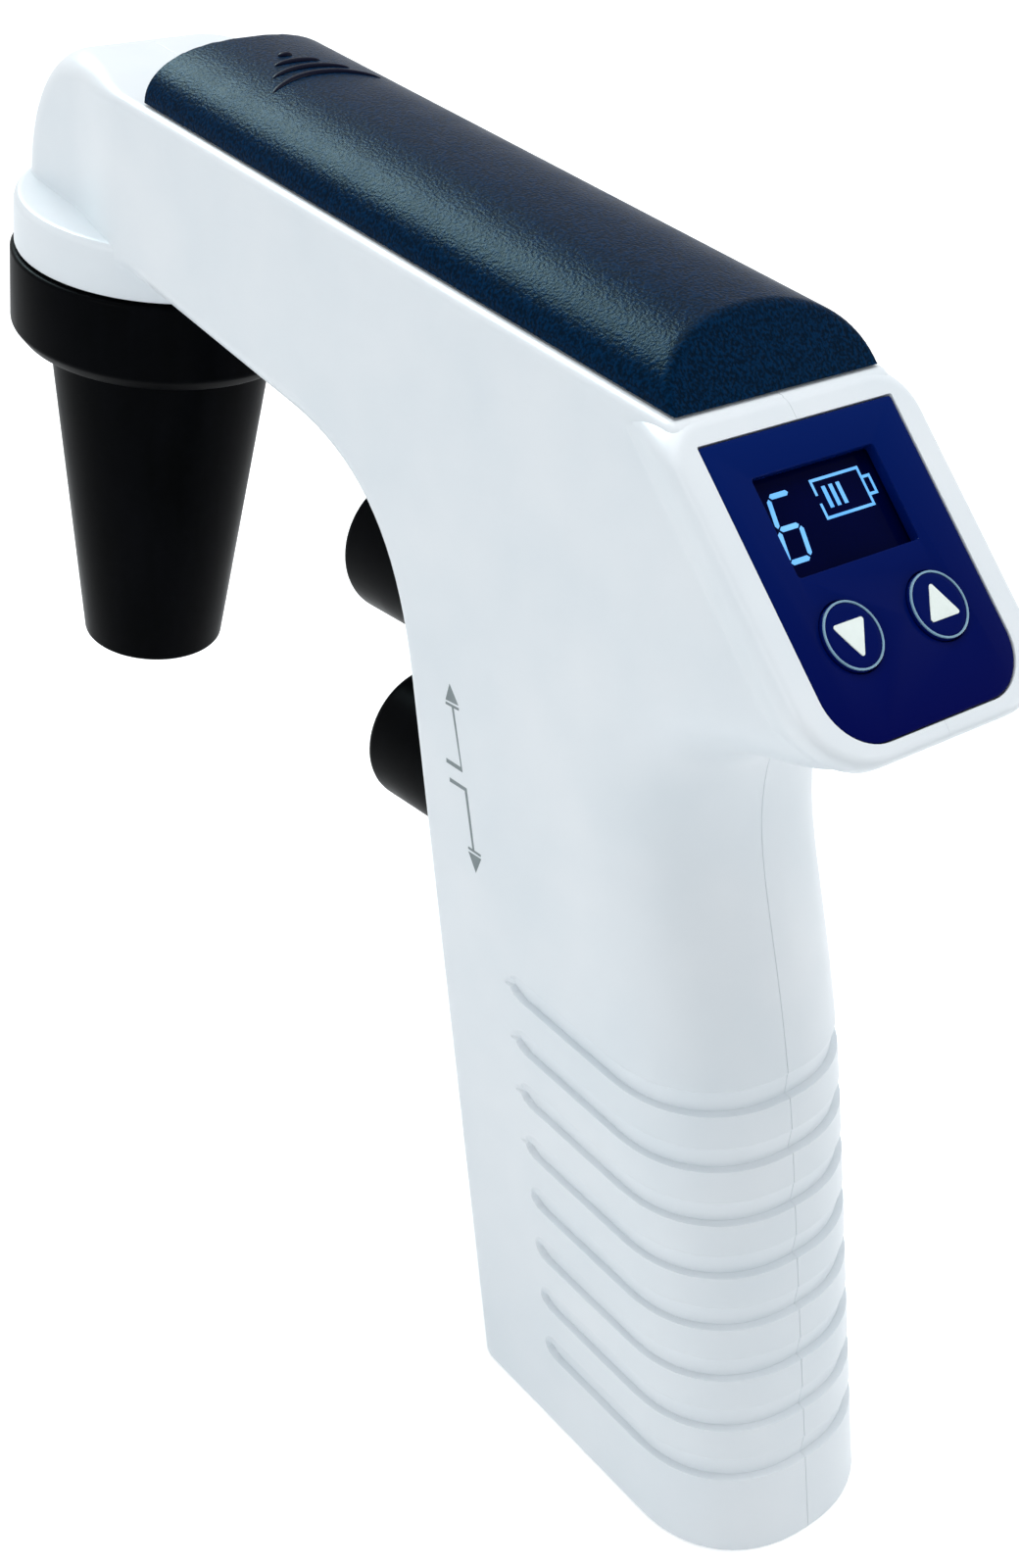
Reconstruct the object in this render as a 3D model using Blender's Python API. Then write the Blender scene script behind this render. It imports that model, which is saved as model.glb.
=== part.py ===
"""Pistol-grip pipette controller: two-shell housing, sliding battery cover, sloped display,
two trigger buttons and a screwed nosepiece.

Sizes are in millimetres and become metres when a mesh is made. The front, where the nosepiece
hangs, is -X, up is +Z, and the two shells meet on the plane y = 0. X is written from the middle
of the base of the grip and ORIGIN_X moves the whole model onto the middle of its own length.
"""
import math

import bmesh
import bpy
from mathutils import Vector

MM = 0.001

# Fits
SEAT = 0.3            # gap between a seated piece and its seat
SEAM = 0.15           # each shell stops this short of the parting plane
REACH = 1.0           # how far a cutter runs past the face it cuts

# Sides of what is turned
ROUND_SIDES = 36
SIDES = 24
FEW_SIDES = 16

# Shells
HALF_WIDTH = 17.0
WALL = 2.2
TOP_Z = 147.0         # shoulder that the battery cover stands on
EDGE_ROLL = 3.0       # rounding of the long edges
SHOULDER_ROLL = 1.2   # rounding of the shoulder beside the battery cover
ROLL_POWER = 2.2      # 2 is an ellipse, more is squarer
FLAT = 0.0            # roll of a face that stays flat out to its edge
CORNER = 0.8          # sides that turn less than this cosine says run on smoothly
ROLL_THINNING = 1.8   # the hollow's roundings are tighter than the wall alone would make them
FLAT_INSIDE = 0.1
RIB_THICK = 2.0       # ribs across the shells that carry the parts inside

# Grip
BASE_LENGTH = 49.2
GRIP_LEAN = math.radians(18.25)
GRIP_FRONT_DROP = 51.7
NECK_X = -8.6         # rear of the neck under the display
NECK_DROP = 44.0      # heights in the upper half are counted down from the shoulder
SWELL_X = 7.1         # where the rear of the grip runs straight
SWELL_Z = 57.4
SWELL_PULL = (28.0, 26.0)   # how far the curves run on from their ends, along X and up
NECK_PULL = (13.0, 9.0)     # below and above the neck
CHIN_PULL = (6.0, 8.0)
PALM_ROLL_X = 14.0    # depth of the rounding round the palm
NECK_ROLL = 6.5       # rounding under the display

# Finger grooves round the palm
GROOVES = 8
GROOVE_TOP_Z = 61.94
GROOVE_PITCH = 7.274
GROOVE_HEIGHT = 3.1
GROOVE_DEPTH = 0.75
GROOVE_FADE = 0.12    # depth at the upper edge
GROOVE_START_X = -28.1
GROOVE_STEP_X = 2.415

# Beam and nose
UNDERSIDE_X = -83.8
UNDERSIDE_DROP = 27.6
UNDERSIDE_PULL = (15.0, -1.4)
FRONT_PULL = (-5.0, 15.0)
NOSE_ROOM = 35.4      # from the battery bay to the nosepiece's axis
BEAM_END_BACK = 15.8  # behind that axis
BEAM_END_DROP = 24.5
NOSE_HALF_WIDTH = 14.6
NOSE_TIP_HALF_WIDTH = 13.6
NOSE_BLEND = (13.4, 2.4)  # behind the axis, where the sides draw in
NOSE_FALL = 2.6       # ahead of it, where the top starts to fall
NOSE_PULL = 9.0

# Flange and nosepiece, all round NOSE_X
FLANGE_RADIUS = 21.8
FLANGE_DROP = 21.05
FLANGE_HEIGHT = 7.95
COLLAR_RADIUS = 22.4
COLLAR_HEIGHT = 13.2
COLLAR_LIP = 1.9
COLLAR_WALL = 4.3     # outside the thread
SPIGOT_HEIGHT = 8.7
CONE_FLANGE_PLAY = 0.2
CONE_FLANGE_STEP = 0.75
CONE_TIP_RADIUS = 10.87
CONE_HEIGHT = 51.8    # below the collar
CONE_WALL = 1.9
CONE_FLANGE_HEIGHT = 2.0
SOCKET_NECK_RADIUS = 8.7
SOCKET_DISC_RADIUS = 12.0
SOCKET_DISC_HEIGHT = 2.2
SOCKET_BORE = 4.2
HOLDER_BOTTOM_RISE = 3.3
HOLDER_HEIGHT = 36.0
PIPETTE_BORE = 4.2
MOUTH_RADIUS = 6.6
FILTER_GAP = 1.45     # between the filter and the cone round it
FILTER_RISE = 3.0     # above the holder
FILTER_HEIGHT = 3.6
STUB_RADIUS = 2.6

# Battery cover and bay
COVER_LAP = 17.0      # that the cover runs on ahead of the bay
COVER_REAR_X = -17.6
COVER_HALF_WIDTH = 15.7
COVER_RISE = 7.4
COVER_WALL = 1.6
COVER_FACET_RUN = 6.9
BAY_REAR_X = -27.0
BAY_HALF_WIDTH = 11.3
COAMING_REAR_X = -38.0  # stops short, so the cover's closed rear wall never meets it
COAMING_WALL = 1.0
COAMING_HEIGHT = 2.0
COAMING_LIP = 0.85
LIP_THICK = 0.7
HOOK_LENGTH = 12.0
COVER_TRAVEL = 14.0   # clears the hooks from their lips, then the cover lifts off
HOOK_PITCH = HOOK_LENGTH + COVER_TRAVEL + REACH
COVER_RIBS = 4
COVER_RIB_START = 9.0
COVER_RIB_PITCH = 2.7
COVER_RIB_HALF = 3.2
COVER_RIB_GROWTH = 2.1
COVER_RIB_WIDTH = 1.2
COVER_RIB_PROUD = 0.45
CELL_RADIUS = 9.2
CELL_LENGTH = 65.2
CELL_ROOM = 12.8      # for the tray's ends and the contacts
CELL_DROP = 10.0
TRAY_WALL = 1.5
TRAY_END = 2.0

# Display head: sizes down and across the sloped face
FACE_TOP_X = -14.25
FACE_DROP = 1.9
FACE_SLOPE = math.radians(39.2)
FASCIA_LENGTH = 36.0
FASCIA_HALF_WIDTH = 14.86
FASCIA_CORNER = 6.5
FASCIA_THICK = 1.5
RIM = 2.2
RIM_HALF_WIDTH = 18.8
RIM_DEPTH = 7.0
FASCIA_GAP = 0.2
FASCIA_LEDGE = 2.4    # that the fascia lies on
OPENING_DEPTH = 10.5
WINDOW_DOWN = (4.75, 16.6)
WINDOW_ACROSS = (-9.9, 9.0)
LENS_THICK = 0.8
MODULE_THICK = 4.0
BOARD_THICK = 1.6
DISPLAY_BOARD_DOWN = (3.0, 31.0)
DISPLAY_BOARD_HALF_WIDTH = 11.5
KEY_DOWN = 24.3
KEY_ACROSS = 6.8
KEY_RADIUS = 4.1
KEY_GAP = 0.25
KEY_PROUD = 0.35
KEY_TRAVEL = 0.4
SWITCH_SIZE = 6.0

# Triggers
TRIGGERS = {"aspirate": (22.77, 48.35), "dispense": (22.46, 74.4)}  # proud of the grip, and drop
TRIGGER_TILT = math.radians(6.7)
TRIGGER_RADIUS = 9.9
TRIGGER_LENGTH = 31.0
TRIGGER_TRAVEL = 5.0
TRIGGER_WALL = 1.8
TRIGGER_STEM = 3.0
TRIGGER_EDGE = 1.4
TRIGGER_GUIDE = (8.0, 27.5)  # its hole through the grip's front
TRIGGER_STOP = 1.5           # flange at its inner end
VALVE_RIB_GAP = 4.0
VALVE_RIB_REACH = 2.5
VALVE_RADIUS = 7.5
VALVE_LENGTH = 13.0

# Pump and control board inside the grip
MOTOR_RADIUS = 11.2
MOTOR_LENGTH = 27.0
PUMP_RADIUS = 12.4
PUMP_LENGTH = 12.0
PUMP_FOOT = (1.0, 10.0)
BARB_RADIUS = 1.0
BARB_LENGTH = 4.0
BARB_PITCH = 10.0
CONTROL_BOARD_ACROSS = (-16.0, 4.0)
CONTROL_BOARD_UP = (16.5, 38.0)

# Screws, from the right side into bosses of the left shell
BOSS_RADIUS = 3.2
SCREW_RADIUS = 1.3
SCREW_HEAD_RADIUS = 2.4
SCREW_HEAD_DEPTH = 3.0
SCREW_LENGTH = 18.0

# Charging socket in the base
SOCKET_X = 10.0
JACK_RADIUS = 3.4
JACK_LENGTH = 5.0
JACK_LEDGE = 0.6

BASE_FRONT_X = -BASE_LENGTH / 2
BASE_REAR_X = BASE_LENGTH / 2
BAY_FRONT_X = BAY_REAR_X - CELL_LENGTH - CELL_ROOM
COVER_FRONT_X = BAY_FRONT_X - COVER_LAP
NOSE_X = BAY_FRONT_X - NOSE_ROOM
NOSE_BACK_X = NOSE_X - NOSE_FALL
BEAM_END_X = NOSE_X + BEAM_END_BACK
BEAM_END_Z = TOP_Z - BEAM_END_DROP
UNDERSIDE_Z = TOP_Z - UNDERSIDE_DROP
NECK_Z = TOP_Z - NECK_DROP
GRIP_FRONT_TOP_Z = TOP_Z - GRIP_FRONT_DROP
FACE_TOP_Z = TOP_Z - FACE_DROP
CELL_Z = TOP_Z - CELL_DROP
HOOKS = int((COAMING_REAR_X - BAY_FRONT_X + COVER_TRAVEL + REACH) / HOOK_PITCH)
SCREW_SPOTS = ((BAY_FRONT_X - 7.0, TOP_Z - 17.0), (-30.0, TOP_Z - 26.0), (-28.0, 47.0), (-16.0, 8.0))
FLANGE_TOP = TOP_Z - FLANGE_DROP
FLANGE_BOTTOM = FLANGE_TOP - FLANGE_HEIGHT
COLLAR_TOP = FLANGE_BOTTOM - SEAT
COLLAR_BOTTOM = COLLAR_TOP - COLLAR_HEIGHT
CONE_BOTTOM = COLLAR_BOTTOM - CONE_HEIGHT
THREAD_RADIUS = COLLAR_RADIUS - COLLAR_WALL
SPIGOT_RADIUS = THREAD_RADIUS - SEAT
CONE_FLANGE_RADIUS = SPIGOT_RADIUS - CONE_FLANGE_PLAY
CONE_TOP_RADIUS = CONE_FLANGE_RADIUS - CONE_FLANGE_STEP
HOLDER_BOTTOM = CONE_BOTTOM + HOLDER_BOTTOM_RISE
HOLDER_TOP = HOLDER_BOTTOM + HOLDER_HEIGHT
VALVE_RIB_AT = TRIGGER_LENGTH + TRIGGER_TRAVEL + VALVE_RIB_GAP
ORIGIN_X = (NOSE_X - COLLAR_RADIUS + BASE_REAR_X) / 2


def clear_scene():
    for item in list(bpy.data.objects):
        bpy.data.objects.remove(item, do_unlink=True)


def finish(name, color, roughness, metallic=0.0):
    """A plain material with the part's own colour."""
    material = bpy.data.materials.new(name)
    material.use_nodes = True
    shader = material.node_tree.nodes["Principled BSDF"]
    shader.inputs["Base Color"].default_value = (*color, 1.0)
    shader.inputs["Roughness"].default_value = roughness
    shader.inputs["Metallic"].default_value = metallic
    return material


def piece(name, shape, material=None, origin=(0.0, 0.0, 0.0)):
    """An object from (points, faces) in millimetres, its origin on the given point."""
    points, faces = shape
    at = Vector(origin)
    mesh = bpy.data.meshes.new(name)
    mesh.from_pydata([(Vector(p) - at) * MM for p in points], [], faces)
    form = bmesh.new()
    form.from_mesh(mesh)
    bmesh.ops.triangulate(form, faces=form.faces[:])
    bmesh.ops.recalc_face_normals(form, faces=form.faces[:])
    form.to_mesh(mesh)
    form.free()
    item = bpy.data.objects.new(name, mesh)
    item.location = (at - Vector((ORIGIN_X, 0, 0))) * MM
    bpy.context.scene.collection.objects.link(item)
    if material:
        mesh.materials.append(material)
    return item


def combine(item, shapes, operation):
    """Cut shapes from an object, or add them to it, with exact Booleans."""
    for shape in shapes:
        tool = piece("tool", shape)
        step = item.modifiers.new("step", "BOOLEAN")
        step.operation = operation
        step.solver = "EXACT"
        step.object = tool
        bpy.context.view_layer.update()
        graph = bpy.context.evaluated_depsgraph_get()
        mesh = bpy.data.meshes.new_from_object(item.evaluated_get(graph))
        form = bmesh.new()
        form.from_mesh(mesh)
        bmesh.ops.remove_doubles(form, verts=form.verts[:], dist=0.002 * MM)
        bmesh.ops.dissolve_limit(form, angle_limit=math.radians(0.4), verts=form.verts[:], edges=form.edges[:])
        bmesh.ops.triangulate(form, faces=form.faces[:])
        form.to_mesh(mesh)
        form.free()
        item.modifiers.clear()
        item.data = mesh
        bpy.data.objects.remove(tool, do_unlink=True)


def cut(item, *shapes):
    combine(item, shapes, "DIFFERENCE")


def add(item, *shapes):
    combine(item, shapes, "UNION")


def shade(item, angle=35.0):
    item.data.shade_smooth()
    item.data.set_sharp_from_angle(angle=math.radians(angle))


def loft(rings):
    """Bridge rings of equally many points and close both ends."""
    count = len(rings[0])
    points = [p for ring in rings for p in ring]
    faces = [tuple(range(count)), tuple(range(len(points) - count, len(points)))]
    for level in range(len(rings) - 1):
        low = level * count
        for i in range(count):
            j = (i + 1) % count
            faces.append((low + i, low + j, low + count + j, low + count + i))
    return points, faces


def prism(outline, place, start, end):
    """Extrude a closed outline; place maps (a, b, height) to space."""
    return loft([[place(a, b, h) for a, b in outline] for h in (start, end)])


def turned(profile, place, sides=ROUND_SIDES):
    """Turn a closed (radius, height) profile; place maps (x, y, height) to space."""
    points = []
    faces = []
    slots = []
    for radius, height in profile:
        if radius < 1e-6:
            slots.append([len(points)] * sides)
            points.append(place(0, 0, height))
            continue
        slots.append(list(range(len(points), len(points) + sides)))
        for k in range(sides):
            angle = 2 * math.pi * k / sides
            points.append(place(radius * math.cos(angle), radius * math.sin(angle), height))
    for a, b in zip(slots, slots[1:] + slots[:1]):
        for k in range(sides):
            n = (k + 1) % sides
            corner = list(dict.fromkeys((a[k], a[n], b[n], b[k])))
            if len(corner) > 2:
                faces.append(tuple(corner))
    return points, faces


def rod(radius, low, high, place, sides=ROUND_SIDES):
    return turned([(0, low), (radius, low), (radius, high), (0, high)], place, sides)


def box(low, high, place=lambda x, y, z: (x, y, z)):
    outline = [(low[0], low[1]), (high[0], low[1]), (high[0], high[1]), (low[0], high[1])]
    return prism(outline, place, low[2], high[2])


def on_nose(x, y, z):
    return NOSE_X + x, y, z


def across(a, b, y):
    """Outlines drawn in side view and extruded across the body."""
    return a, y, b


def along(y, z, x):
    """Outlines drawn from the front and extruded along the body."""
    return x, y, z


def on_face(down, y, depth):
    """The display's frame: down the slope, across, and into the body."""
    x = FACE_TOP_X + down * math.cos(FACE_SLOPE) - depth * math.sin(FACE_SLOPE)
    z = FACE_TOP_Z - down * math.sin(FACE_SLOPE) - depth * math.cos(FACE_SLOPE)
    return x, y, z


def trigger_place(name):
    """The frame of a trigger: two directions across it, and in along its axis."""
    proud, drop = TRIGGERS[name]
    front = (grip_front(TOP_Z - drop) - proud, TOP_Z - drop)

    def place(a, b, inward):
        x = front[0] + inward * math.cos(TRIGGER_TILT) - b * math.sin(TRIGGER_TILT)
        z = front[1] + inward * math.sin(TRIGGER_TILT) + b * math.cos(TRIGGER_TILT)
        return x, a, z
    return place


def pump_place(a, b, up):
    """The frame of the pump, leaning with the grip."""
    x = PUMP_FOOT[0] + a * math.cos(GRIP_LEAN) - up * math.sin(GRIP_LEAN)
    z = PUMP_FOOT[1] + a * math.sin(GRIP_LEAN) + up * math.cos(GRIP_LEAN)
    return x, b, z


def bezier(start, pull_start, pull_end, end, steps):
    """Points of a cubic curve after its start."""
    found = []
    for i in range(1, steps + 1):
        t = i / steps
        u = 1 - t
        weights = (u * u * u, 3 * u * u * t, 3 * u * t * t, t * t * t)
        found.append(tuple(sum(w * p[k] for w, p in zip(weights, (start, pull_start, pull_end, end)))
                           for k in (0, 1)))
    return found


def rounded_box(low, high, radii, steps=6):
    """A rectangle with a radius for each corner, counted from the low corner anticlockwise."""
    corners = [(low[0], low[1], 180), (high[0], low[1], 270), (high[0], high[1], 0), (low[0], high[1], 90)]
    outline = []
    for (x, y, turn), radius in zip(corners, radii):
        if radius <= 0:
            outline.append((x, y))
            continue
        cx = x + radius if x == low[0] else x - radius
        cy = y + radius if y == low[1] else y - radius
        for i in range(steps + 1):
            angle = math.radians(turn + 90 * i / steps)
            outline.append((cx + radius * math.cos(angle), cy + radius * math.sin(angle)))
    return outline


def grip_front(z):
    """X of the straight front of the grip."""
    return BASE_FRONT_X - z * math.tan(GRIP_LEAN)


def blend(value, start, end):
    t = min(max((value - start) / (end - start), 0.0), 1.0)
    return t * t * (3 - 2 * t)


def half_width(x):
    """Half the body's width: full along the beam, less at the nose."""
    nose = NOSE_HALF_WIDTH + (NOSE_TIP_HALF_WIDTH - NOSE_HALF_WIDTH) * blend(x, NOSE_BACK_X, NOSE_X - FLANGE_RADIUS)
    return HALF_WIDTH + (nose - HALF_WIDTH) * blend(x, NOSE_X + NOSE_BLEND[0], NOSE_X + NOSE_BLEND[1])


def side_outline():
    """The body in side view, anticlockwise from the front of the base.

    Each entry is x, z, how far the side that ends there rolls in the outline's plane, and how
    far the surface rolls across it.
    """
    full = HALF_WIDTH - 0.5
    entries = []

    def go(points, roll, across_roll, end_roll=None, end_across=None):
        for i, (x, z) in enumerate(points):
            t = (i + 1) / len(points)
            entries.append((x, z, roll + ((end_roll or roll) - roll) * t,
                            across_roll + ((end_across or across_roll) - across_roll) * t))

    go([(BASE_FRONT_X, 0.0)], EDGE_ROLL, EDGE_ROLL)
    go([(BASE_REAR_X, 0.0)], FLAT, full)
    rear_steps = 7
    slope = (BASE_REAR_X - SWELL_X) / SWELL_Z
    go([(BASE_REAR_X - slope * SWELL_Z * i / rear_steps, SWELL_Z * i / rear_steps)
        for i in range(1, rear_steps + 1)], PALM_ROLL_X, full)
    go(bezier((SWELL_X, SWELL_Z), (SWELL_X - slope * SWELL_PULL[0], SWELL_Z + SWELL_PULL[1]),
              (NECK_X, NECK_Z - NECK_PULL[0]), (NECK_X, NECK_Z), 8), PALM_ROLL_X, full)
    edge = on_face(FASCIA_LENGTH + RIM - 0.8, 0, 0.6)
    go(bezier((NECK_X, NECK_Z), (NECK_X, NECK_Z + NECK_PULL[1]), (edge[0] - CHIN_PULL[0], edge[2] - CHIN_PULL[1]),
              (edge[0], edge[2]), 8), PALM_ROLL_X, full, NECK_ROLL, NECK_ROLL)
    corner = on_face(-(TOP_Z - FACE_TOP_Z) / math.sin(FACE_SLOPE), 0, 0)
    low = on_face(FASCIA_LENGTH * 0.6, 0, 0.6)
    high = on_face(3.0, 0, 0.6)
    go([(low[0], low[2]), (high[0], high[2])], 1.5, 1.5)
    go([(corner[0] + 0.6, TOP_Z - 1.1), (corner[0] - 1.4, TOP_Z)], SHOULDER_ROLL, SHOULDER_ROLL)
    go([(x, TOP_Z) for x in nose_stations()], SHOULDER_ROLL, SHOULDER_ROLL, 4.0, 4.0)
    tip = NOSE_X - FLANGE_RADIUS + 1.0
    go(bezier((NOSE_BACK_X, TOP_Z), (NOSE_BACK_X - NOSE_PULL, TOP_Z), (tip + 1, TOP_Z - NOSE_PULL),
              (tip, FLANGE_TOP), 8), 4.5, 4.5, 8.0, NOSE_TIP_HALF_WIDTH - 1)
    go([(tip, BEAM_END_Z)], 8.0, NOSE_TIP_HALF_WIDTH - 1)
    go([(x, BEAM_END_Z) for x in reversed(nose_stations())], FLAT, EDGE_ROLL)
    go([(BEAM_END_X, BEAM_END_Z), (UNDERSIDE_X, UNDERSIDE_Z)], EDGE_ROLL, EDGE_ROLL)
    front_top = (grip_front(GRIP_FRONT_TOP_Z), GRIP_FRONT_TOP_Z)
    go(bezier((UNDERSIDE_X, UNDERSIDE_Z), (UNDERSIDE_X + UNDERSIDE_PULL[0], UNDERSIDE_Z + UNDERSIDE_PULL[1]),
              (front_top[0] + FRONT_PULL[0], front_top[1] + FRONT_PULL[1]), front_top, 8), EDGE_ROLL, EDGE_ROLL)
    return entries


def nose_stations():
    """X of the points that the top and the bottom of the nose share."""
    count = 5
    start = NOSE_X + NOSE_BLEND[0]
    return [start + (NOSE_BACK_X - start) * i / count for i in range(count + 1)]


def inset(entries, distances):
    """Move each side of an outline in by its own distance and meet the sides again."""
    count = len(entries)
    moved = []
    for i in range(count):
        before = Vector(entries[i - 1][:2])
        here = Vector(entries[i][:2])
        after = Vector(entries[(i + 1) % count][:2])
        a = (here - before).normalized()
        b = (after - here).normalized()
        na = Vector((-a.y, a.x))
        nb = Vector((-b.y, b.x))
        da = distances[i]
        db = distances[(i + 1) % count]
        turn = a.x * b.y - a.y * b.x
        if a.dot(b) > CORNER:
            middle = (na + nb).normalized()
            moved.append(here + middle * (da + db) / (2 * middle.dot(na)))
            continue
        start_a = here + na * da
        start_b = here + nb * db
        gap = start_b - start_a
        t = (gap.x * b.y - gap.y * b.x) / turn
        moved.append(start_a + a * t)
    return moved


def half_body(wall, start, levels):
    """One side of the body as a solid, from y = start outwards, thinner by the wall."""
    entries = side_outline()
    rings = []
    for level in range(levels + 1):
        angle = math.radians(90 * level / levels)
        roll_in = 1 - math.cos(angle) ** (2 / ROLL_POWER) if level < levels else 1.0
        roll_out = math.sin(angle) ** (2 / ROLL_POWER)
        distances = []
        for x, z, roll, across_roll in entries:
            distances.append(wall + max(roll - ROLL_THINNING * wall, FLAT_INSIDE * wall) * roll_in)
        flat = inset(entries, distances)
        ring = []
        for (x, z, roll, across_roll), p in zip(entries, flat):
            rise = max(across_roll - wall, 0.4)
            ring.append((p.x, half_width(p.x) - wall - rise + rise * roll_out, p.y))
        rings.append(ring)
    rings.insert(0, [(p[0], start, p[2]) for p in rings[0]])
    points, faces = loft(rings)
    count = len(entries)
    last = len(points) - count
    faces.pop(1)
    stations = len(nose_stations())
    blend_start = NOSE_X + NOSE_BLEND[0] + 1e-6
    tops = [i for i, e in enumerate(entries) if e[1] == TOP_Z and e[0] <= blend_start][:stations]
    bottoms = [i for i, e in enumerate(entries) if e[1] == BEAM_END_Z and e[0] <= blend_start]
    bottoms = bottoms[-stations:]
    faces.append(tuple(last + i for i in range(tops[-1], bottoms[0] + 1)))
    for k in range(stations - 1):
        a, b = tops[k], tops[k + 1]
        c, d = bottoms[stations - 2 - k], bottoms[stations - 1 - k]
        faces.append((last + a, last + b, last + c, last + d))
    rest = list(range(bottoms[-1], count)) + list(range(0, tops[0] + 1))
    faces.append(tuple(last + i for i in rest))
    return points, faces


def mirrored(shape):
    points, faces = shape
    return [(x, -y, z) for x, y, z in points], faces


def bezel_shape(start):
    """The raised rim round the display, flaring from the body's side to the sloped face."""
    rings = []
    bottom = FASCIA_LENGTH + RIM
    for depth, grow in ((0.0, -0.9), (0.35, -0.25), (1.1, 0.0), (2.4, -0.15), (4.2, -0.9), (RIM_DEPTH, -2.2)):
        outline = rounded_box((-2.4 - 0.9 * depth, start), (bottom + grow, RIM_HALF_WIDTH + grow),
                              (0, 0, FASCIA_CORNER + RIM, 1.2))
        rings.append([on_face(a, b, depth) for a, b in outline])
    return loft(rings)


def rear_line(z):
    """X of the rear of the grip below the palm's curve, on the parting plane."""
    return BASE_REAR_X - (BASE_REAR_X - SWELL_X) * z / SWELL_Z


def palm_point(z, t, proud):
    """A point round the palm at height z: t is 0 on the seam and 1 where the side runs flat."""
    angle = t * math.pi / 2
    roll_in = 1 - math.cos(angle) ** (2 / ROLL_POWER)
    roll_out = math.sin(angle) ** (2 / ROLL_POWER)
    slope = 1 / math.cos(GRIP_LEAN)
    reach = rear_line(z) - PALM_ROLL_X * slope * roll_in
    width = HALF_WIDTH - (HALF_WIDTH - 0.5) * (1 - roll_out)
    ahead = math.cos(angle)
    aside = math.sin(angle)
    return reach + proud * ahead, width + proud * aside, z


def groove(index):
    """One finger groove of the right shell: a ledge below, fading out upwards."""
    low = GROOVE_TOP_Z - index * GROOVE_PITCH
    start_x = GROOVE_START_X + index * GROOVE_STEP_X
    middle = low + GROOVE_HEIGHT * 0.5
    high = low + GROOVE_HEIGHT
    round_steps = 6
    path = [(i / round_steps, None, 1.0) for i in range(round_steps + 1)]
    path += [(1.0, start_x + 2.2, 1.0), (1.0, start_x + 0.9, 0.8), (1.0, start_x, 0.35)]
    rings = []
    for t, side_x, size in path:
        spread = GROOVE_HEIGHT * 0.5 * size
        levels = ((-GROOVE_DEPTH * size, middle - spread), (-GROOVE_FADE * size, middle + spread),
                  (REACH, high), (REACH, low))
        ring = [palm_point(z, t, proud) for proud, z in levels]
        if side_x is not None:
            ring = [(side_x, y, z) for x, y, z in ring]
        rings.append(ring)
    first = [(p[0], -REACH, p[2]) for p in rings[0]]
    return loft([first] + rings)


def pin(spot, radius, low, high, sides=FEW_SIDES):
    """A round bar across the body at one screw's place."""
    return rod(radius, low, high, lambda a, b, h: (spot[0] + a, h, spot[1] + b), sides)


def hook_starts():
    """Front ends of the cover's hooks, and of the lips they sit under."""
    return [COAMING_REAR_X - HOOK_LENGTH - i * HOOK_PITCH for i in range(HOOKS)]


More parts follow.
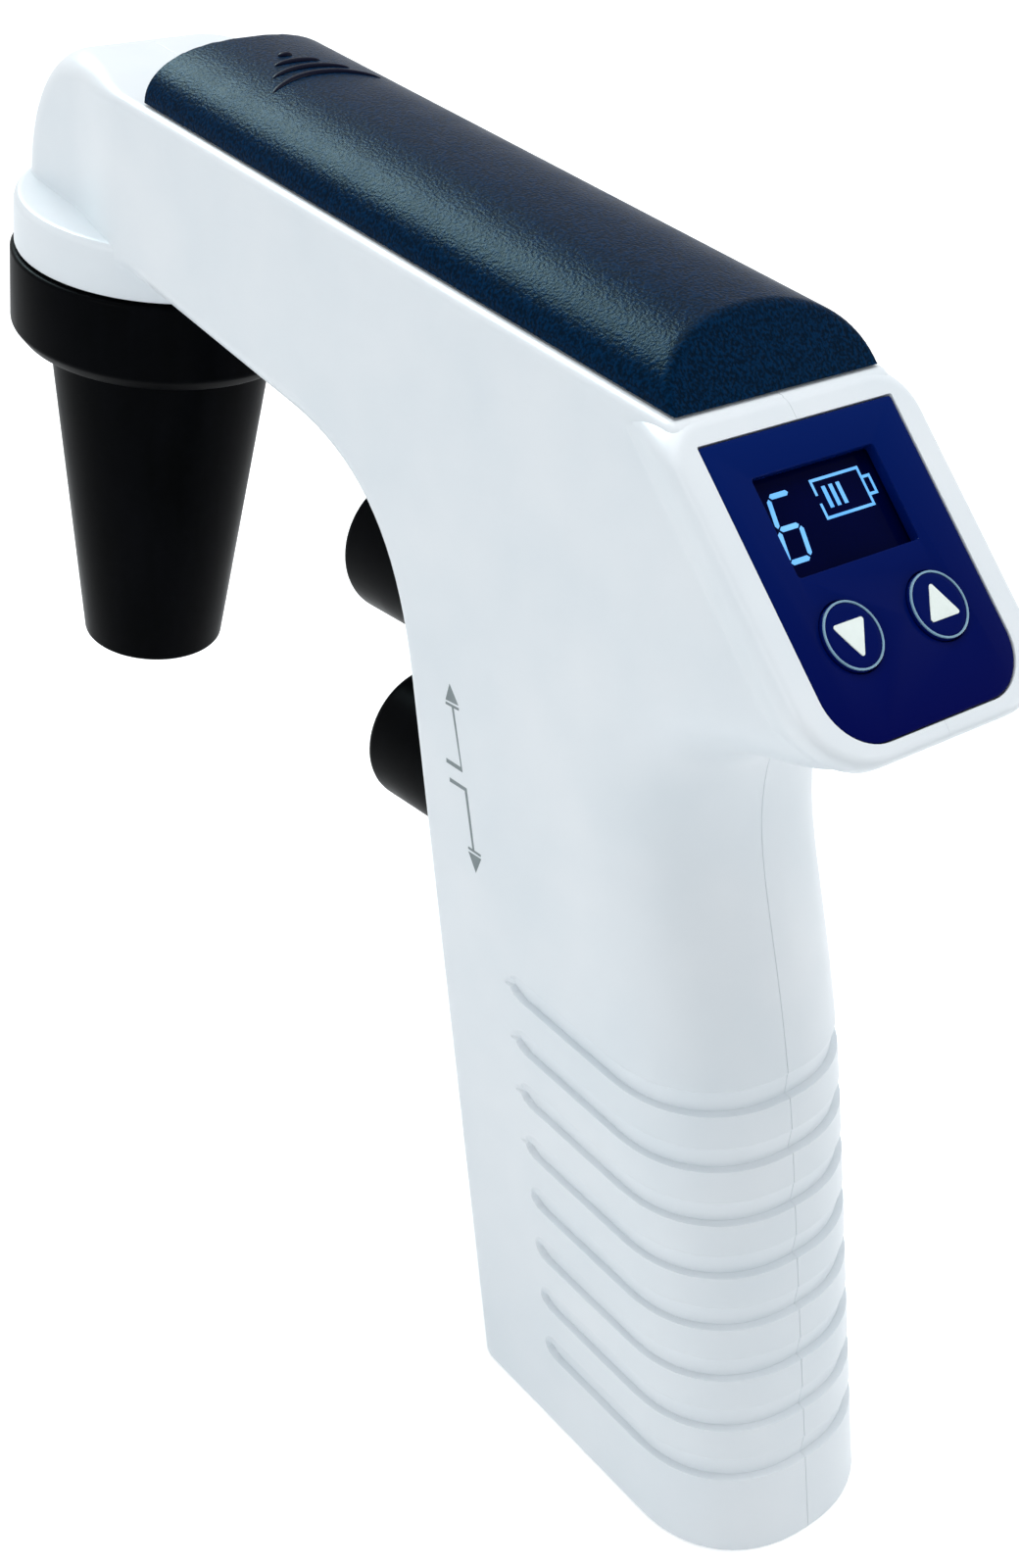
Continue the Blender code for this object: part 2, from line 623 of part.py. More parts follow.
def build_housing(material):
    """Both shells: hollow halves with flange, rim, coaming, bosses and ribs."""
    blank = piece("blank", half_body(0.0, SEAM, 5))
    add(blank, bezel_shape(SEAM))
    cut(blank, half_body(WALL, -REACH, 3))

    half_disc = [(FLANGE_RADIUS * math.cos(math.radians(a)), FLANGE_RADIUS * math.sin(math.radians(a)))
                 for a in range(0, 181, 9)]
    floor = math.asin(SEAM / FLANGE_RADIUS)
    half_disc[0] = (FLANGE_RADIUS * math.cos(floor), SEAM)
    half_disc[-1] = (-half_disc[0][0], SEAM)
    chamfer = 0.8
    small = [(x * (1 - chamfer / FLANGE_RADIUS), max(y * (1 - chamfer / FLANGE_RADIUS), SEAM)) for x, y in half_disc]
    add(blank, loft([[on_nose(x, y, z) for x, y in outline] for outline, z in
                     ((half_disc, FLANGE_BOTTOM), (half_disc, FLANGE_TOP - chamfer * 0.6), (small, FLANGE_TOP))]))
    cut(blank, rod(SOCKET_NECK_RADIUS + SEAT, FLANGE_BOTTOM - REACH, FLANGE_TOP + REACH, on_nose))

    coaming_in = BAY_HALF_WIDTH - 0.5
    coaming_out = BAY_HALF_WIDTH + COAMING_WALL
    coaming_top = TOP_Z + COAMING_HEIGHT
    add(blank, box((BAY_FRONT_X, coaming_in, TOP_Z - WALL * 0.7), (COAMING_REAR_X, coaming_out, coaming_top)))
    for x in hook_starts():
        add(blank, box((x, coaming_in, coaming_top - LIP_THICK),
                       (x + HOOK_LENGTH, coaming_out + COAMING_LIP, coaming_top)))
    cut(blank, box((BAY_FRONT_X, -REACH, TOP_Z - 2 * WALL), (BAY_REAR_X, BAY_HALF_WIDTH, coaming_top + REACH)))

    gap = FASCIA_GAP
    ledge = FASCIA_LEDGE
    recess = rounded_box((-gap, -REACH), (FASCIA_LENGTH + gap, FASCIA_HALF_WIDTH + gap),
                         (0, 0, FASCIA_CORNER + gap, 0))
    opening = rounded_box((ledge, -REACH), (FASCIA_LENGTH - ledge, FASCIA_HALF_WIDTH - ledge),
                          (0, 0, FASCIA_CORNER - ledge, 0))
    cut(blank, prism(recess, on_face, -REACH, FASCIA_THICK + SEAT), prism(opening, on_face, -REACH, OPENING_DEPTH))

    for name in TRIGGERS:
        place = trigger_place(name)
        reach = VALVE_RADIUS + VALVE_RIB_REACH
        add(blank, box((SEAM, -reach, VALVE_RIB_AT),
                       (HALF_WIDTH - WALL * 0.5, reach, VALVE_RIB_AT + RIB_THICK), place))
        cut(blank, rod(TRIGGER_RADIUS + SEAT, TRIGGER_GUIDE[0], TRIGGER_GUIDE[1], place),
            rod(VALVE_RADIUS + SEAT, VALVE_RIB_AT - RIB_THICK, VALVE_RIB_AT + 2 * RIB_THICK, place, SIDES))
    rib_up = MOTOR_LENGTH * 0.5
    add(blank, box((-MOTOR_RADIUS - RIB_THICK, SEAM, rib_up),
                   (MOTOR_RADIUS + RIB_THICK, HALF_WIDTH - WALL * 0.5, rib_up + RIB_THICK), pump_place))
    cut(blank, rod(MOTOR_RADIUS + SEAT, rib_up - RIB_THICK, rib_up + 2 * RIB_THICK, pump_place, SIDES),
        rod(JACK_RADIUS - JACK_LEDGE, -REACH, WALL + REACH, lambda a, b, h: (SOCKET_X + a, b, h), FEW_SIDES))
    for index in range(GROOVES):
        cut(blank, groove(index))

    tray_rib_top = CELL_Z - CELL_RADIUS - SEAT - TRAY_WALL - SEAT
    for x in (BAY_FRONT_X + 12, BAY_REAR_X - 12):
        add(blank, box((x, SEAM, tray_rib_top - 3.0), (x + RIB_THICK, HALF_WIDTH - WALL * 0.5, tray_rib_top)))

    right = piece("housing_right", ([], []))
    right.data = blank.data.copy()
    right.location = blank.location
    left = piece("housing_left", mirrored(([tuple(v.co / MM + blank.location / MM + Vector((ORIGIN_X, 0, 0)))
                                            for v in blank.data.vertices],
                                           [tuple(p.vertices) for p in blank.data.polygons])))
    bpy.data.objects.remove(blank, do_unlink=True)
    inner = HALF_WIDTH - WALL * 0.5
    for spot in SCREW_SPOTS:
        add(left, pin(spot, BOSS_RADIUS, -inner, -SEAM))
        add(right, pin(spot, BOSS_RADIUS, SEAM, inner))
        cut(left, pin(spot, SCREW_RADIUS - 0.1 + SEAT, -SCREW_LENGTH + SCREW_HEAD_DEPTH, REACH))
        cut(right, pin(spot, SCREW_RADIUS + SEAT, -REACH, HALF_WIDTH + REACH),
            pin(spot, SCREW_HEAD_RADIUS + SEAT, HALF_WIDTH - SCREW_HEAD_DEPTH, HALF_WIDTH + REACH))
    for item in (left, right):
        item.data.materials.clear()
        item.data.materials.append(material)
        shade(item)


def arch(half, rise, low, steps=12):
    """The cover's cross-section from one side over to the other."""
    outline = []
    for i in range(steps + 1):
        angle = math.pi * i / steps
        c, s = math.cos(angle), math.sin(angle)
        y = math.copysign(abs(c) ** (2 / ROLL_POWER), c) * half
        outline.append((y, low + s ** (2 / ROLL_POWER) * rise))
    return outline


def build_cover(material):
    """Arched battery cover with thumb ribs, and hooks that slide out from under the coaming's lips."""
    low = TOP_Z + SEAT
    cover = piece("battery_cover", prism(arch(COVER_HALF_WIDTH, COVER_RISE, low, 20), along,
                                         COVER_FRONT_X, COVER_REAR_X), material)
    facet = [(COVER_REAR_X, low), (COVER_REAR_X + 8, low), (COVER_REAR_X + 8, low + COVER_RISE + 4),
             (COVER_REAR_X - COVER_FACET_RUN * (COVER_RISE + 4) / COVER_RISE, low + COVER_RISE + 4)]
    cut(cover, prism(facet, across, -COVER_HALF_WIDTH - 2, COVER_HALF_WIDTH + 2))
    for index in range(COVER_RIBS):
        add(cover, thumb_rib(index))
    hollow = prism(arch(COVER_HALF_WIDTH - COVER_WALL, COVER_RISE - COVER_WALL, low - 0.001, 16), along,
                   COVER_FRONT_X + COVER_WALL, COVER_REAR_X - COVER_WALL)
    skirt = box((COVER_FRONT_X + COVER_WALL, -COVER_HALF_WIDTH + COVER_WALL, low - REACH),
                (COVER_REAR_X - COVER_WALL, COVER_HALF_WIDTH - COVER_WALL, low + 0.4))
    inside = piece("inside", hollow)
    add(inside, skirt)
    facet_inner = [(x - COVER_WALL * 1.4, z) for x, z in facet]
    facet_inner[0] = (facet_inner[0][0], low - 2 * REACH)
    facet_inner[1] = (facet_inner[1][0], low - 2 * REACH)
    cut(inside, prism(facet_inner, across, -COVER_HALF_WIDTH - 3, COVER_HALF_WIDTH + 3))
    shape = ([tuple(v.co / MM + inside.location / MM + Vector((ORIGIN_X, 0, 0))) for v in inside.data.vertices],
             [tuple(p.vertices) for p in inside.data.polygons])
    bpy.data.objects.remove(inside, do_unlink=True)
    cut(cover, shape)
    hook_in = BAY_HALF_WIDTH + COAMING_WALL + 0.35
    hook_top = TOP_Z + COAMING_HEIGHT - LIP_THICK - SEAT
    for side in (-1, 1):
        ys = sorted((side * hook_in, side * (COVER_HALF_WIDTH - COVER_WALL * 0.5)))
        for x in hook_starts():
            add(cover, box((x, ys[0], low + 0.05), (x + HOOK_LENGTH, ys[1], hook_top)))
    shade(cover, 30)


def thumb_rib(index):
    """A low curved ridge across the cover's crown."""
    half = COVER_RIB_HALF + index * COVER_RIB_GROWTH
    middle = COVER_FRONT_X + COVER_RIB_START + index * COVER_RIB_PITCH
    foot = COVER_RIB_WIDTH / 2
    top = foot - 0.1
    bow = 0.045
    rings = []
    steps = 8
    for i in range(steps + 1):
        y = -half + 2 * half * i / steps
        x = middle + bow * y * y
        rise = COVER_RISE * (1 - abs(y / COVER_HALF_WIDTH) ** ROLL_POWER) ** (1 / ROLL_POWER)
        z = TOP_Z + SEAT + rise
        low = z - COVER_WALL / 2
        high = z + COVER_RIB_PROUD
        ring = [(x - foot, y, low), (x + foot, y, low), (x + top, y, high), (x - top, y, high)]
        rings.append(ring)
    return loft(rings)


def build_bay(plastic, cell_finish, metal):
    """Tray, cell and contacts under the cover."""
    outer = BAY_HALF_WIDTH - SEAT
    tray_low = CELL_Z - CELL_RADIUS - SEAT - TRAY_WALL
    front = BAY_FRONT_X + SEAT
    rear = BAY_REAR_X - SEAT
    tray = piece("battery_tray", box((front, -outer, tray_low), (rear, outer, TOP_Z)), plastic)
    bore = CELL_RADIUS + SEAT
    inner_front = front + TRAY_END
    inner_rear = rear - TRAY_END

    def place(a, b, h):
        return h, a, CELL_Z + b

    cut(tray, rod(bore, inner_front, inner_rear, place, SIDES),
        box((inner_front, -bore, CELL_Z), (inner_rear, bore, TOP_Z + REACH)))
    cell_front = inner_front + 1.4
    r = CELL_RADIUS
    end = cell_front + CELL_LENGTH
    profile = [(0, cell_front), (3.0, cell_front), (3.0, cell_front + 1.2), (r - 0.8, cell_front + 1.2),
               (r, cell_front + 2.0), (r, end - 0.6), (r - 0.6, end), (0, end)]
    shade(piece("battery_cell", turned(profile, place, FEW_SIDES), cell_finish))
    piece("contact_plate", box((inner_front + SEAT, -6.0, CELL_Z - 5.0), (inner_front + SEAT + 0.5, 6.0, CELL_Z + 5.0)),
          metal)
    coil_room = inner_rear - end - 2 * SEAT
    turns = 3.0
    spots = 20
    wire = 0.45
    rings = []
    for i in range(spots + 1):
        t = i / spots
        angle = 2 * math.pi * turns * t
        radius = 3.0 + 3.0 * t
        center = Vector((end + SEAT + wire + (coil_room - 2 * wire) * t, radius * math.cos(angle),
                         CELL_Z + radius * math.sin(angle)))
        outward = Vector((0, math.cos(angle), math.sin(angle)))
        rings.append([tuple(center + outward * wire * math.cos(a) + Vector((1, 0, 0)) * wire * math.sin(a))
                      for a in (2 * math.pi * k / 5 for k in range(5))])
    shade(piece("contact_spring", loft(rings), metal))
    shade(tray)


def build_display(finishes):
    """Fascia, lens, module, board, keys and their switches, all in the frame of the slope."""
    outline = rounded_box((0, -FASCIA_HALF_WIDTH), (FASCIA_LENGTH, FASCIA_HALF_WIDTH),
                          (0, FASCIA_CORNER, FASCIA_CORNER, 0), 8)
    fascia = piece("display_fascia", prism(outline, on_face, 0.1, FASCIA_THICK), finishes["navy"])
    window = [(WINDOW_DOWN[0], WINDOW_ACROSS[0]), (WINDOW_DOWN[1], WINDOW_ACROSS[0]),
              (WINDOW_DOWN[1], WINDOW_ACROSS[1]), (WINDOW_DOWN[0], WINDOW_ACROSS[1])]
    cut(fascia, prism(window, on_face, -REACH, FASCIA_THICK + REACH))
    lens_top = FASCIA_THICK + SEAT
    grow = 0.8
    piece("lcd_lens", box((WINDOW_DOWN[0] - grow, WINDOW_ACROSS[0] - grow, lens_top),
                          (WINDOW_DOWN[1] + grow, WINDOW_ACROSS[1] + grow, lens_top + LENS_THICK), on_face),
          finishes["lens"])
    module_top = lens_top + LENS_THICK + SEAT
    module_end = module_top + MODULE_THICK
    piece("lcd_module", box((WINDOW_DOWN[0] - 1.6, WINDOW_ACROSS[0] - 1.6, module_top),
                            (WINDOW_DOWN[1] + 1.4, WINDOW_ACROSS[1] + 1.6, module_end), on_face),
          finishes["black"])
    board_top = module_end + SEAT
    piece("display_board", box((DISPLAY_BOARD_DOWN[0], -DISPLAY_BOARD_HALF_WIDTH, board_top),
                               (DISPLAY_BOARD_DOWN[1], DISPLAY_BOARD_HALF_WIDTH, board_top + BOARD_THICK), on_face),
          finishes["board"])
    stem_end = lens_top + 0.8 + KEY_TRAVEL + SEAT
    for name, side in (("down", -1), ("up", 1)):
        def place(a, b, depth, side=side):
            return on_face(KEY_DOWN + a, side * KEY_ACROSS + b, depth)
        cut(fascia, rod(KEY_RADIUS + KEY_GAP, -REACH, FASCIA_THICK + REACH, place, SIDES))
        profile = [(0, -KEY_PROUD), (KEY_RADIUS - 0.4, -KEY_PROUD), (KEY_RADIUS, -KEY_PROUD + 0.3),
                   (KEY_RADIUS, lens_top), (KEY_RADIUS + 1.0, lens_top), (KEY_RADIUS + 1.0, lens_top + 0.6),
                   (1.6, lens_top + 0.6), (1.6, stem_end - KEY_TRAVEL), (0, stem_end - KEY_TRAVEL)]
        origin = place(0, 0, 0)
        shade(piece(name + "_key", turned(profile, place, SIDES), finishes["navy"], origin))
        s = SWITCH_SIZE / 2
        piece(name + "_switch", box((-s, -s, stem_end + SEAT), (s, s, board_top - SEAT), place), finishes["black"])
    shade(fascia)


def build_triggers(black, valve_finish):
    """Two plunger buttons, each with its stem in the bore of its valve."""
    for name in TRIGGERS:
        place = trigger_place(name)
        r = TRIGGER_RADIUS
        inner = r - TRIGGER_WALL
        edge = TRIGGER_EDGE
        end = TRIGGER_LENGTH
        nose = [(0, 0), (r - edge, 0)]
        nose += [(r - edge + edge * math.sin(math.radians(a)), edge - edge * math.cos(math.radians(a)))
                 for a in (30, 60, 90)]
        stem_end = end + TRIGGER_TRAVEL + SEAT + VALVE_RIB_GAP
        profile = nose + [(r, end - TRIGGER_STOP), (r + 1.2, end - TRIGGER_STOP), (r + 1.2, end), (inner, end),
                          (inner, TRIGGER_WALL + 0.6), (TRIGGER_STEM, TRIGGER_WALL + 0.6),
                          (TRIGGER_STEM, stem_end), (0, stem_end)]
        shade(piece(name + "_trigger", turned(profile, place, SIDES), black, place(0, 0, 0)))
        face = end + TRIGGER_TRAVEL + SEAT
        bore = TRIGGER_STEM + 0.25
        back = face + VALVE_LENGTH
        profile = [(bore, face), (VALVE_RADIUS, face), (VALVE_RADIUS, back - 2), (VALVE_RADIUS - 2, back),
                   (0, back), (0, back - 1.5), (bore, back - 1.5)]
        valve = piece(name + "_valve", turned(profile, place, FEW_SIDES), valve_finish)
        add(valve, rod(BARB_RADIUS, VALVE_RADIUS - 1, VALVE_RADIUS - 1 + BARB_LENGTH,
                       lambda a, b, h: place(h, a, back - BARB_LENGTH + b), FEW_SIDES))
        shade(valve)


def build_nosepiece(black, silicone, membrane, seal):
    """Socket in the flange, collar, cone, pipette holder, filter and seal."""
    socket_low = COLLAR_TOP - SPIGOT_HEIGHT
    disc_low = FLANGE_TOP + SEAT
    disc_top = disc_low + SOCKET_DISC_HEIGHT
    stub_top = disc_top + 6.0
    air = 1.5
    seal_top = socket_low + 4.0
    profile = [(SPIGOT_RADIUS, socket_low), (SPIGOT_RADIUS, COLLAR_TOP), (SOCKET_NECK_RADIUS, COLLAR_TOP),
               (SOCKET_NECK_RADIUS, disc_low), (SOCKET_DISC_RADIUS, disc_low), (SOCKET_DISC_RADIUS, disc_top),
               (air + 1.0, disc_top), (air + 1.0, stub_top), (air, stub_top), (air, seal_top + 1),
               (SOCKET_BORE, seal_top + 1), (SOCKET_BORE, socket_low)]
    shade(piece("neck_socket", turned(profile, on_nose, SIDES), black))
    shade(piece("neck_seal", turned([(STUB_RADIUS + SEAT, socket_low + 1.5), (SOCKET_BORE - SEAT, socket_low + 1.5),
                                     (SOCKET_BORE - SEAT, socket_low + 3.0), (STUB_RADIUS + SEAT, socket_low + 3.0)],
                                    on_nose, FEW_SIDES), seal))

    thread = THREAD_RADIUS
    lip_top = COLLAR_BOTTOM + COLLAR_LIP
    lip = CONE_TOP_RADIUS + SEAT
    bevel = 0.6
    r = COLLAR_RADIUS
    profile = [(lip, COLLAR_BOTTOM), (r - 1.6, COLLAR_BOTTOM), (r - 0.4, COLLAR_BOTTOM + 1.0), (r, COLLAR_BOTTOM + 2.2),
               (r, COLLAR_TOP - bevel), (r - bevel, COLLAR_TOP), (thread, COLLAR_TOP), (thread, lip_top), (lip, lip_top)]
    origin = on_nose(0, 0, COLLAR_BOTTOM)
    shade(piece("nose_collar", turned(profile, on_nose), black, origin))

    flange_low = lip_top + SEAT
    flange_top = flange_low + CONE_FLANGE_HEIGHT
    taper = (CONE_TOP_RADIUS - CONE_TIP_RADIUS) / CONE_HEIGHT

    def cone_inside(z):
        return CONE_TIP_RADIUS + (z - CONE_BOTTOM) * taper - CONE_WALL

    cone_flange = CONE_FLANGE_RADIUS
    profile = [(cone_inside(CONE_BOTTOM), CONE_BOTTOM), (CONE_TIP_RADIUS - 0.5, CONE_BOTTOM),
               (CONE_TIP_RADIUS, CONE_BOTTOM + 0.6), (CONE_TOP_RADIUS, COLLAR_BOTTOM), (CONE_TOP_RADIUS, flange_low),
               (cone_flange, flange_low), (cone_flange, flange_top), (cone_inside(COLLAR_BOTTOM), flange_top),
               (cone_inside(COLLAR_BOTTOM), COLLAR_BOTTOM)]
    shade(piece("nose_cone", turned(profile, on_nose), black))

    low = HOLDER_BOTTOM
    top = HOLDER_TOP
    neck = top - 8.0
    stub_bore = STUB_RADIUS + SEAT
    profile = [(MOUTH_RADIUS, low), (cone_inside(low) - SEAT, low), (cone_inside(top) - SEAT, top), (stub_bore, top),
               (stub_bore, neck), (PIPETTE_BORE, neck - 1.5)]
    for i in range(3):
        z = neck - 5.0 - i * 4.0
        profile += [(PIPETTE_BORE, z + 1.0), (PIPETTE_BORE - 0.5, z + 0.3), (PIPETTE_BORE - 0.5, z - 0.3),
                    (PIPETTE_BORE, z - 1.0)]
    profile += [(PIPETTE_BORE, low + 6.0)]
    shade(piece("pipette_holder", turned(profile, on_nose, FEW_SIDES), silicone))

    disc = top + FILTER_RISE
    disc_end = disc + FILTER_HEIGHT
    stub_end = socket_low + 3.4
    r = cone_inside(disc) - FILTER_GAP
    profile = [(0, neck + 1), (STUB_RADIUS, neck + 1), (STUB_RADIUS, disc), (r - 0.8, disc), (r, disc + 0.8),
               (r, disc_end - 0.8), (r - 0.8, disc_end), (STUB_RADIUS, disc_end), (STUB_RADIUS, stub_end), (0, stub_end)]
    shade(piece("membrane_filter", turned(profile, on_nose, FEW_SIDES), membrane))


def build_pump(metal, plastic, board_finish, socket_finish):
    """Motor and pump head in the grip, the control board beside them and the charging socket."""
    r = MOTOR_RADIUS
    profile = [(0, 0), (r - 0.8, 0), (r, 0.8), (r, MOTOR_LENGTH - 0.8), (r - 0.8, MOTOR_LENGTH), (0, MOTOR_LENGTH)]
    shade(piece("pump_motor", turned(profile, pump_place, FEW_SIDES), metal))
    low = MOTOR_LENGTH + SEAT
    high = low + PUMP_LENGTH
    profile = [(0, low), (PUMP_RADIUS, low), (PUMP_RADIUS, high - 1.5), (PUMP_RADIUS - 1.5, high), (0, high)]
    head = piece("pump_head", turned(profile, pump_place, FEW_SIDES), plastic)
    for side in (-1, 1):
        add(head, rod(BARB_RADIUS, high - 2, high + BARB_LENGTH,
                      lambda a, b, h: pump_place(a - 2.0, b + side * BARB_PITCH / 2, h), FEW_SIDES))
    shade(head)
    face = HALF_WIDTH - WALL - SEAT
    piece("control_board", box((CONTROL_BOARD_ACROSS[0], -face, CONTROL_BOARD_UP[0]),
                               (CONTROL_BOARD_ACROSS[1], -face + BOARD_THICK, CONTROL_BOARD_UP[1]), pump_place),
          board_finish)
    pin_hole = JACK_RADIUS - 2 * JACK_LEDGE - 1.0
    shade(piece("charge_socket", turned([(pin_hole, WALL + SEAT), (JACK_RADIUS, WALL + SEAT),
                                         (JACK_RADIUS, WALL + JACK_LENGTH), (pin_hole, WALL + JACK_LENGTH)],
                                        lambda a, b, h: (SOCKET_X + a, b, h), FEW_SIDES), socket_finish))


def build_screws(metal):
    for index, spot in enumerate(SCREW_SPOTS):
        head_top = HALF_WIDTH - 0.4
        head_low = HALF_WIDTH - SCREW_HEAD_DEPTH + SEAT
        tip = head_low - SCREW_LENGTH + SCREW_HEAD_DEPTH + 1
        profile = [(0, head_top), (SCREW_HEAD_RADIUS - 0.4, head_top), (SCREW_HEAD_RADIUS, head_top - 0.5),
                   (SCREW_HEAD_RADIUS, head_low), (SCREW_RADIUS, head_low), (SCREW_RADIUS, tip), (0, tip)]
        shade(piece("housing_screw_%d" % (index + 1),
                    turned(profile, lambda a, b, h: (spot[0] + a, h, spot[1] + b), FEW_SIDES), metal))


def main():
    clear_scene()
    white = finish("white_abs", (0.80, 0.83, 0.85), 0.30)
    black = finish("black_abs", (0.012, 0.013, 0.016), 0.32)
    texture = finish("sparked_navy_black_abs", (0.010, 0.020, 0.034), 0.55)
    finishes = {
        "navy": finish("navy_gloss_fascia", (0.004, 0.012, 0.08), 0.18),
        "lens": finish("display_lens", (0.003, 0.005, 0.02), 0.08),
        "black": black,
        "board": finish("circuit_board", (0.02, 0.16, 0.06), 0.45),
    }
    metal = finish("nickel_plate", (0.72, 0.70, 0.66), 0.25, 1.0)
    silicone = finish("grey_silicone", (0.55, 0.57, 0.58), 0.6)
    membrane = finish("filter_housing", (0.85, 0.86, 0.84), 0.4)
    seal = finish("black_rubber", (0.02, 0.02, 0.02), 0.7)
    cell = finish("cell_sleeve", (0.05, 0.20, 0.45), 0.4)
    build_housing(white)
    build_cover(texture)
    build_bay(black, cell, metal)
    build_display(finishes)
    build_triggers(black, finish("valve_body", (0.75, 0.75, 0.72), 0.4))
    build_nosepiece(black, silicone, membrane, seal)
    build_pump(metal, black, finishes["board"], black)
    build_screws(metal)


main()
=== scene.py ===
# Pistol-grip pipette controller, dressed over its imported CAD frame.
# Sizes are in millimetres from the middle of the grip's base; toRow turns a point into the frame's metres.
import math

import bmesh
import bpy
from mathutils import Matrix, Vector


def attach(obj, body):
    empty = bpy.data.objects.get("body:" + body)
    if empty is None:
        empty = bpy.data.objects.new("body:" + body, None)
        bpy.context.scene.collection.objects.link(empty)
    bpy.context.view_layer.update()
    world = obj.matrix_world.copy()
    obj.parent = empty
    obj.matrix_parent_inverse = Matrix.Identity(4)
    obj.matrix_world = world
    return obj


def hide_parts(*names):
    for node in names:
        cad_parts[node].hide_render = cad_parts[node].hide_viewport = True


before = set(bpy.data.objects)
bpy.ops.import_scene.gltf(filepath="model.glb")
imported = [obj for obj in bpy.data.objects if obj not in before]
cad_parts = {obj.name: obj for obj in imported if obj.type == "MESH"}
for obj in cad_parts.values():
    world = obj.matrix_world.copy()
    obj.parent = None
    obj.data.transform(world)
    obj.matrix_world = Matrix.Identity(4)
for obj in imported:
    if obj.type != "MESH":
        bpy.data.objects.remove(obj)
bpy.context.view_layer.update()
scene = bpy.context.scene
mm = 0.001
originX = -69.1  # the frame's origin, seen from the middle of the grip's base
print("frame loaded")


def toRow(point):
    return Vector(((point[0] - originX) * mm, point[1] * mm, point[2] * mm))


# small helpers for meshes

def newPiece(name, points, faces):
    mesh = bpy.data.meshes.new(name)
    mesh.from_pydata([toRow(p) for p in points], [], faces)
    form = bmesh.new()
    form.from_mesh(mesh)
    bmesh.ops.remove_doubles(form, verts=form.verts[:], dist=0.002 * mm)
    bmesh.ops.recalc_face_normals(form, faces=form.faces[:])
    form.to_mesh(mesh)
    form.free()
    item = bpy.data.objects.new(name, mesh)
    scene.collection.objects.link(item)
    return item


def wear(item, finish, body, nodes=(), smoothAngle=32):
    item.data.materials.clear()
    item.data.materials.append(finish)
    item.data.shade_smooth()
    item.data.set_sharp_from_angle(angle=math.radians(smoothAngle))
    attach(item, body)
    if nodes:
        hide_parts(*nodes)
    return item


def loft(rings):
    count = len(rings[0])
    points = [p for ring in rings for p in ring]
    faces = [tuple(range(count)), tuple(range(len(points) - count, len(points)))]
    for level in range(len(rings) - 1):
        low = level * count
        for i in range(count):
            j = (i + 1) % count
            faces.append((low + i, low + j, low + count + j, low + count + i))
    return points, faces


def gridFaces(rows, width, first=0):
    # quads between rows of width points each; first is the number of the first point
    return [(low, low + 1, low + width + 1, low + width)
            for r in range(rows - 1) for low in range(first + r * width, first + (r + 1) * width - 1)]


def prism(outline, place, start, end):
    return loft([[place(a, b, h) for a, b in outline] for h in (start, end)])


def prisms(name, outlines, place, start, end):
    # several prisms in one piece
    points = []
    faces = []
    for outline in outlines:
        corners, sides = prism(outline, place, start, end)
        faces += [tuple(len(points) + i for i in side) for side in sides]
        points += corners
    return newPiece(name, points, faces)


def block(low, high, place=lambda x, y, z: (x, y, z)):
    outline = [(low[0], low[1]), (high[0], low[1]), (high[0], high[1]), (low[0], high[1])]
    return prism(outline, place, low[2], high[2])


def ring(radius, centre=(0.0, 0.0), sides=64):
    return [(centre[0] + radius * math.cos(2 * math.pi * k / sides),
             centre[1] + radius * math.sin(2 * math.pi * k / sides)) for k in range(sides)]


def bar(radius, low, high, place, sides=64):
    return prism(ring(radius, sides=sides), place, low, high)


def softened(corners, steps=4):
    # corners are (a, b, radius); each gets an arc of that radius, as far as its sides allow
    found = []
    for i, (a, b, radius) in enumerate(corners):
        here = Vector((a, b))
        back = Vector(corners[i - 1][:2]) - here
        on = Vector(corners[(i + 1) % len(corners)][:2]) - here
        tooShort = min(back.length, on.length) < 1e-6
        half = math.pi / 2 if tooShort else back.angle(on) / 2
        if radius <= 0 or half > math.radians(88):  # a sharp corner, or none to speak of
            found.append((a, b))
            continue
        reach = min(radius / math.tan(half), back.length * 0.49, on.length * 0.49)
        radius = reach * math.tan(half)
        back.normalize()
        on.normalize()
        centre = here + (back + on).normalized() * (radius / math.sin(half))
        first = here + back * reach - centre
        last = here + on * reach - centre
        turn = first.angle_signed(last)
        start = math.atan2(first.y, first.x)
        for k in range(steps + 1):
            angle = start - turn * k / steps
            found.append((centre.x + radius * math.cos(angle), centre.y + radius * math.sin(angle)))
    return found


def combine(item, other, operation):
    # the other mesh is used up
    step = item.modifiers.new("step", "BOOLEAN")
    step.operation = operation
    step.solver = "MANIFOLD"
    step.object = other
    bpy.context.view_layer.update()
    mesh = bpy.data.meshes.new_from_object(item.evaluated_get(bpy.context.evaluated_depsgraph_get()))
    item.modifiers.clear()
    old = item.data
    item.data = mesh
    bpy.data.meshes.remove(old)
    bpy.data.objects.remove(other, do_unlink=True)


def carve(item, shape):
    combine(item, newPiece("cutter", *shape), "DIFFERENCE")


def weld(item, shape):
    combine(item, newPiece("added", *shape), "UNION")


# small helpers for node trees

def fill(tree, node, settings):
    # a node's output is linked; a value goes to the input of that name or number, or else to the node itself
    for name, value in settings.items():
        if isinstance(value, bpy.types.NodeSocket):
            tree.links.new(value, node.inputs[name])
        elif isinstance(name, int) or name in node.inputs:
            node.inputs[name].default_value = value
        else:
            setattr(node, name, value)
    return node


def addNode(tree, kind, settings=None):
    return fill(tree, tree.nodes.new(kind), settings or {})


def srgb(code):
    values = [int(code[i:i + 2], 16) / 255 for i in (1, 3, 5)]
    return (*[v / 12.92 if v <= 0.04045 else ((v + 0.055) / 1.055) ** 2.4 for v in values], 1.0)


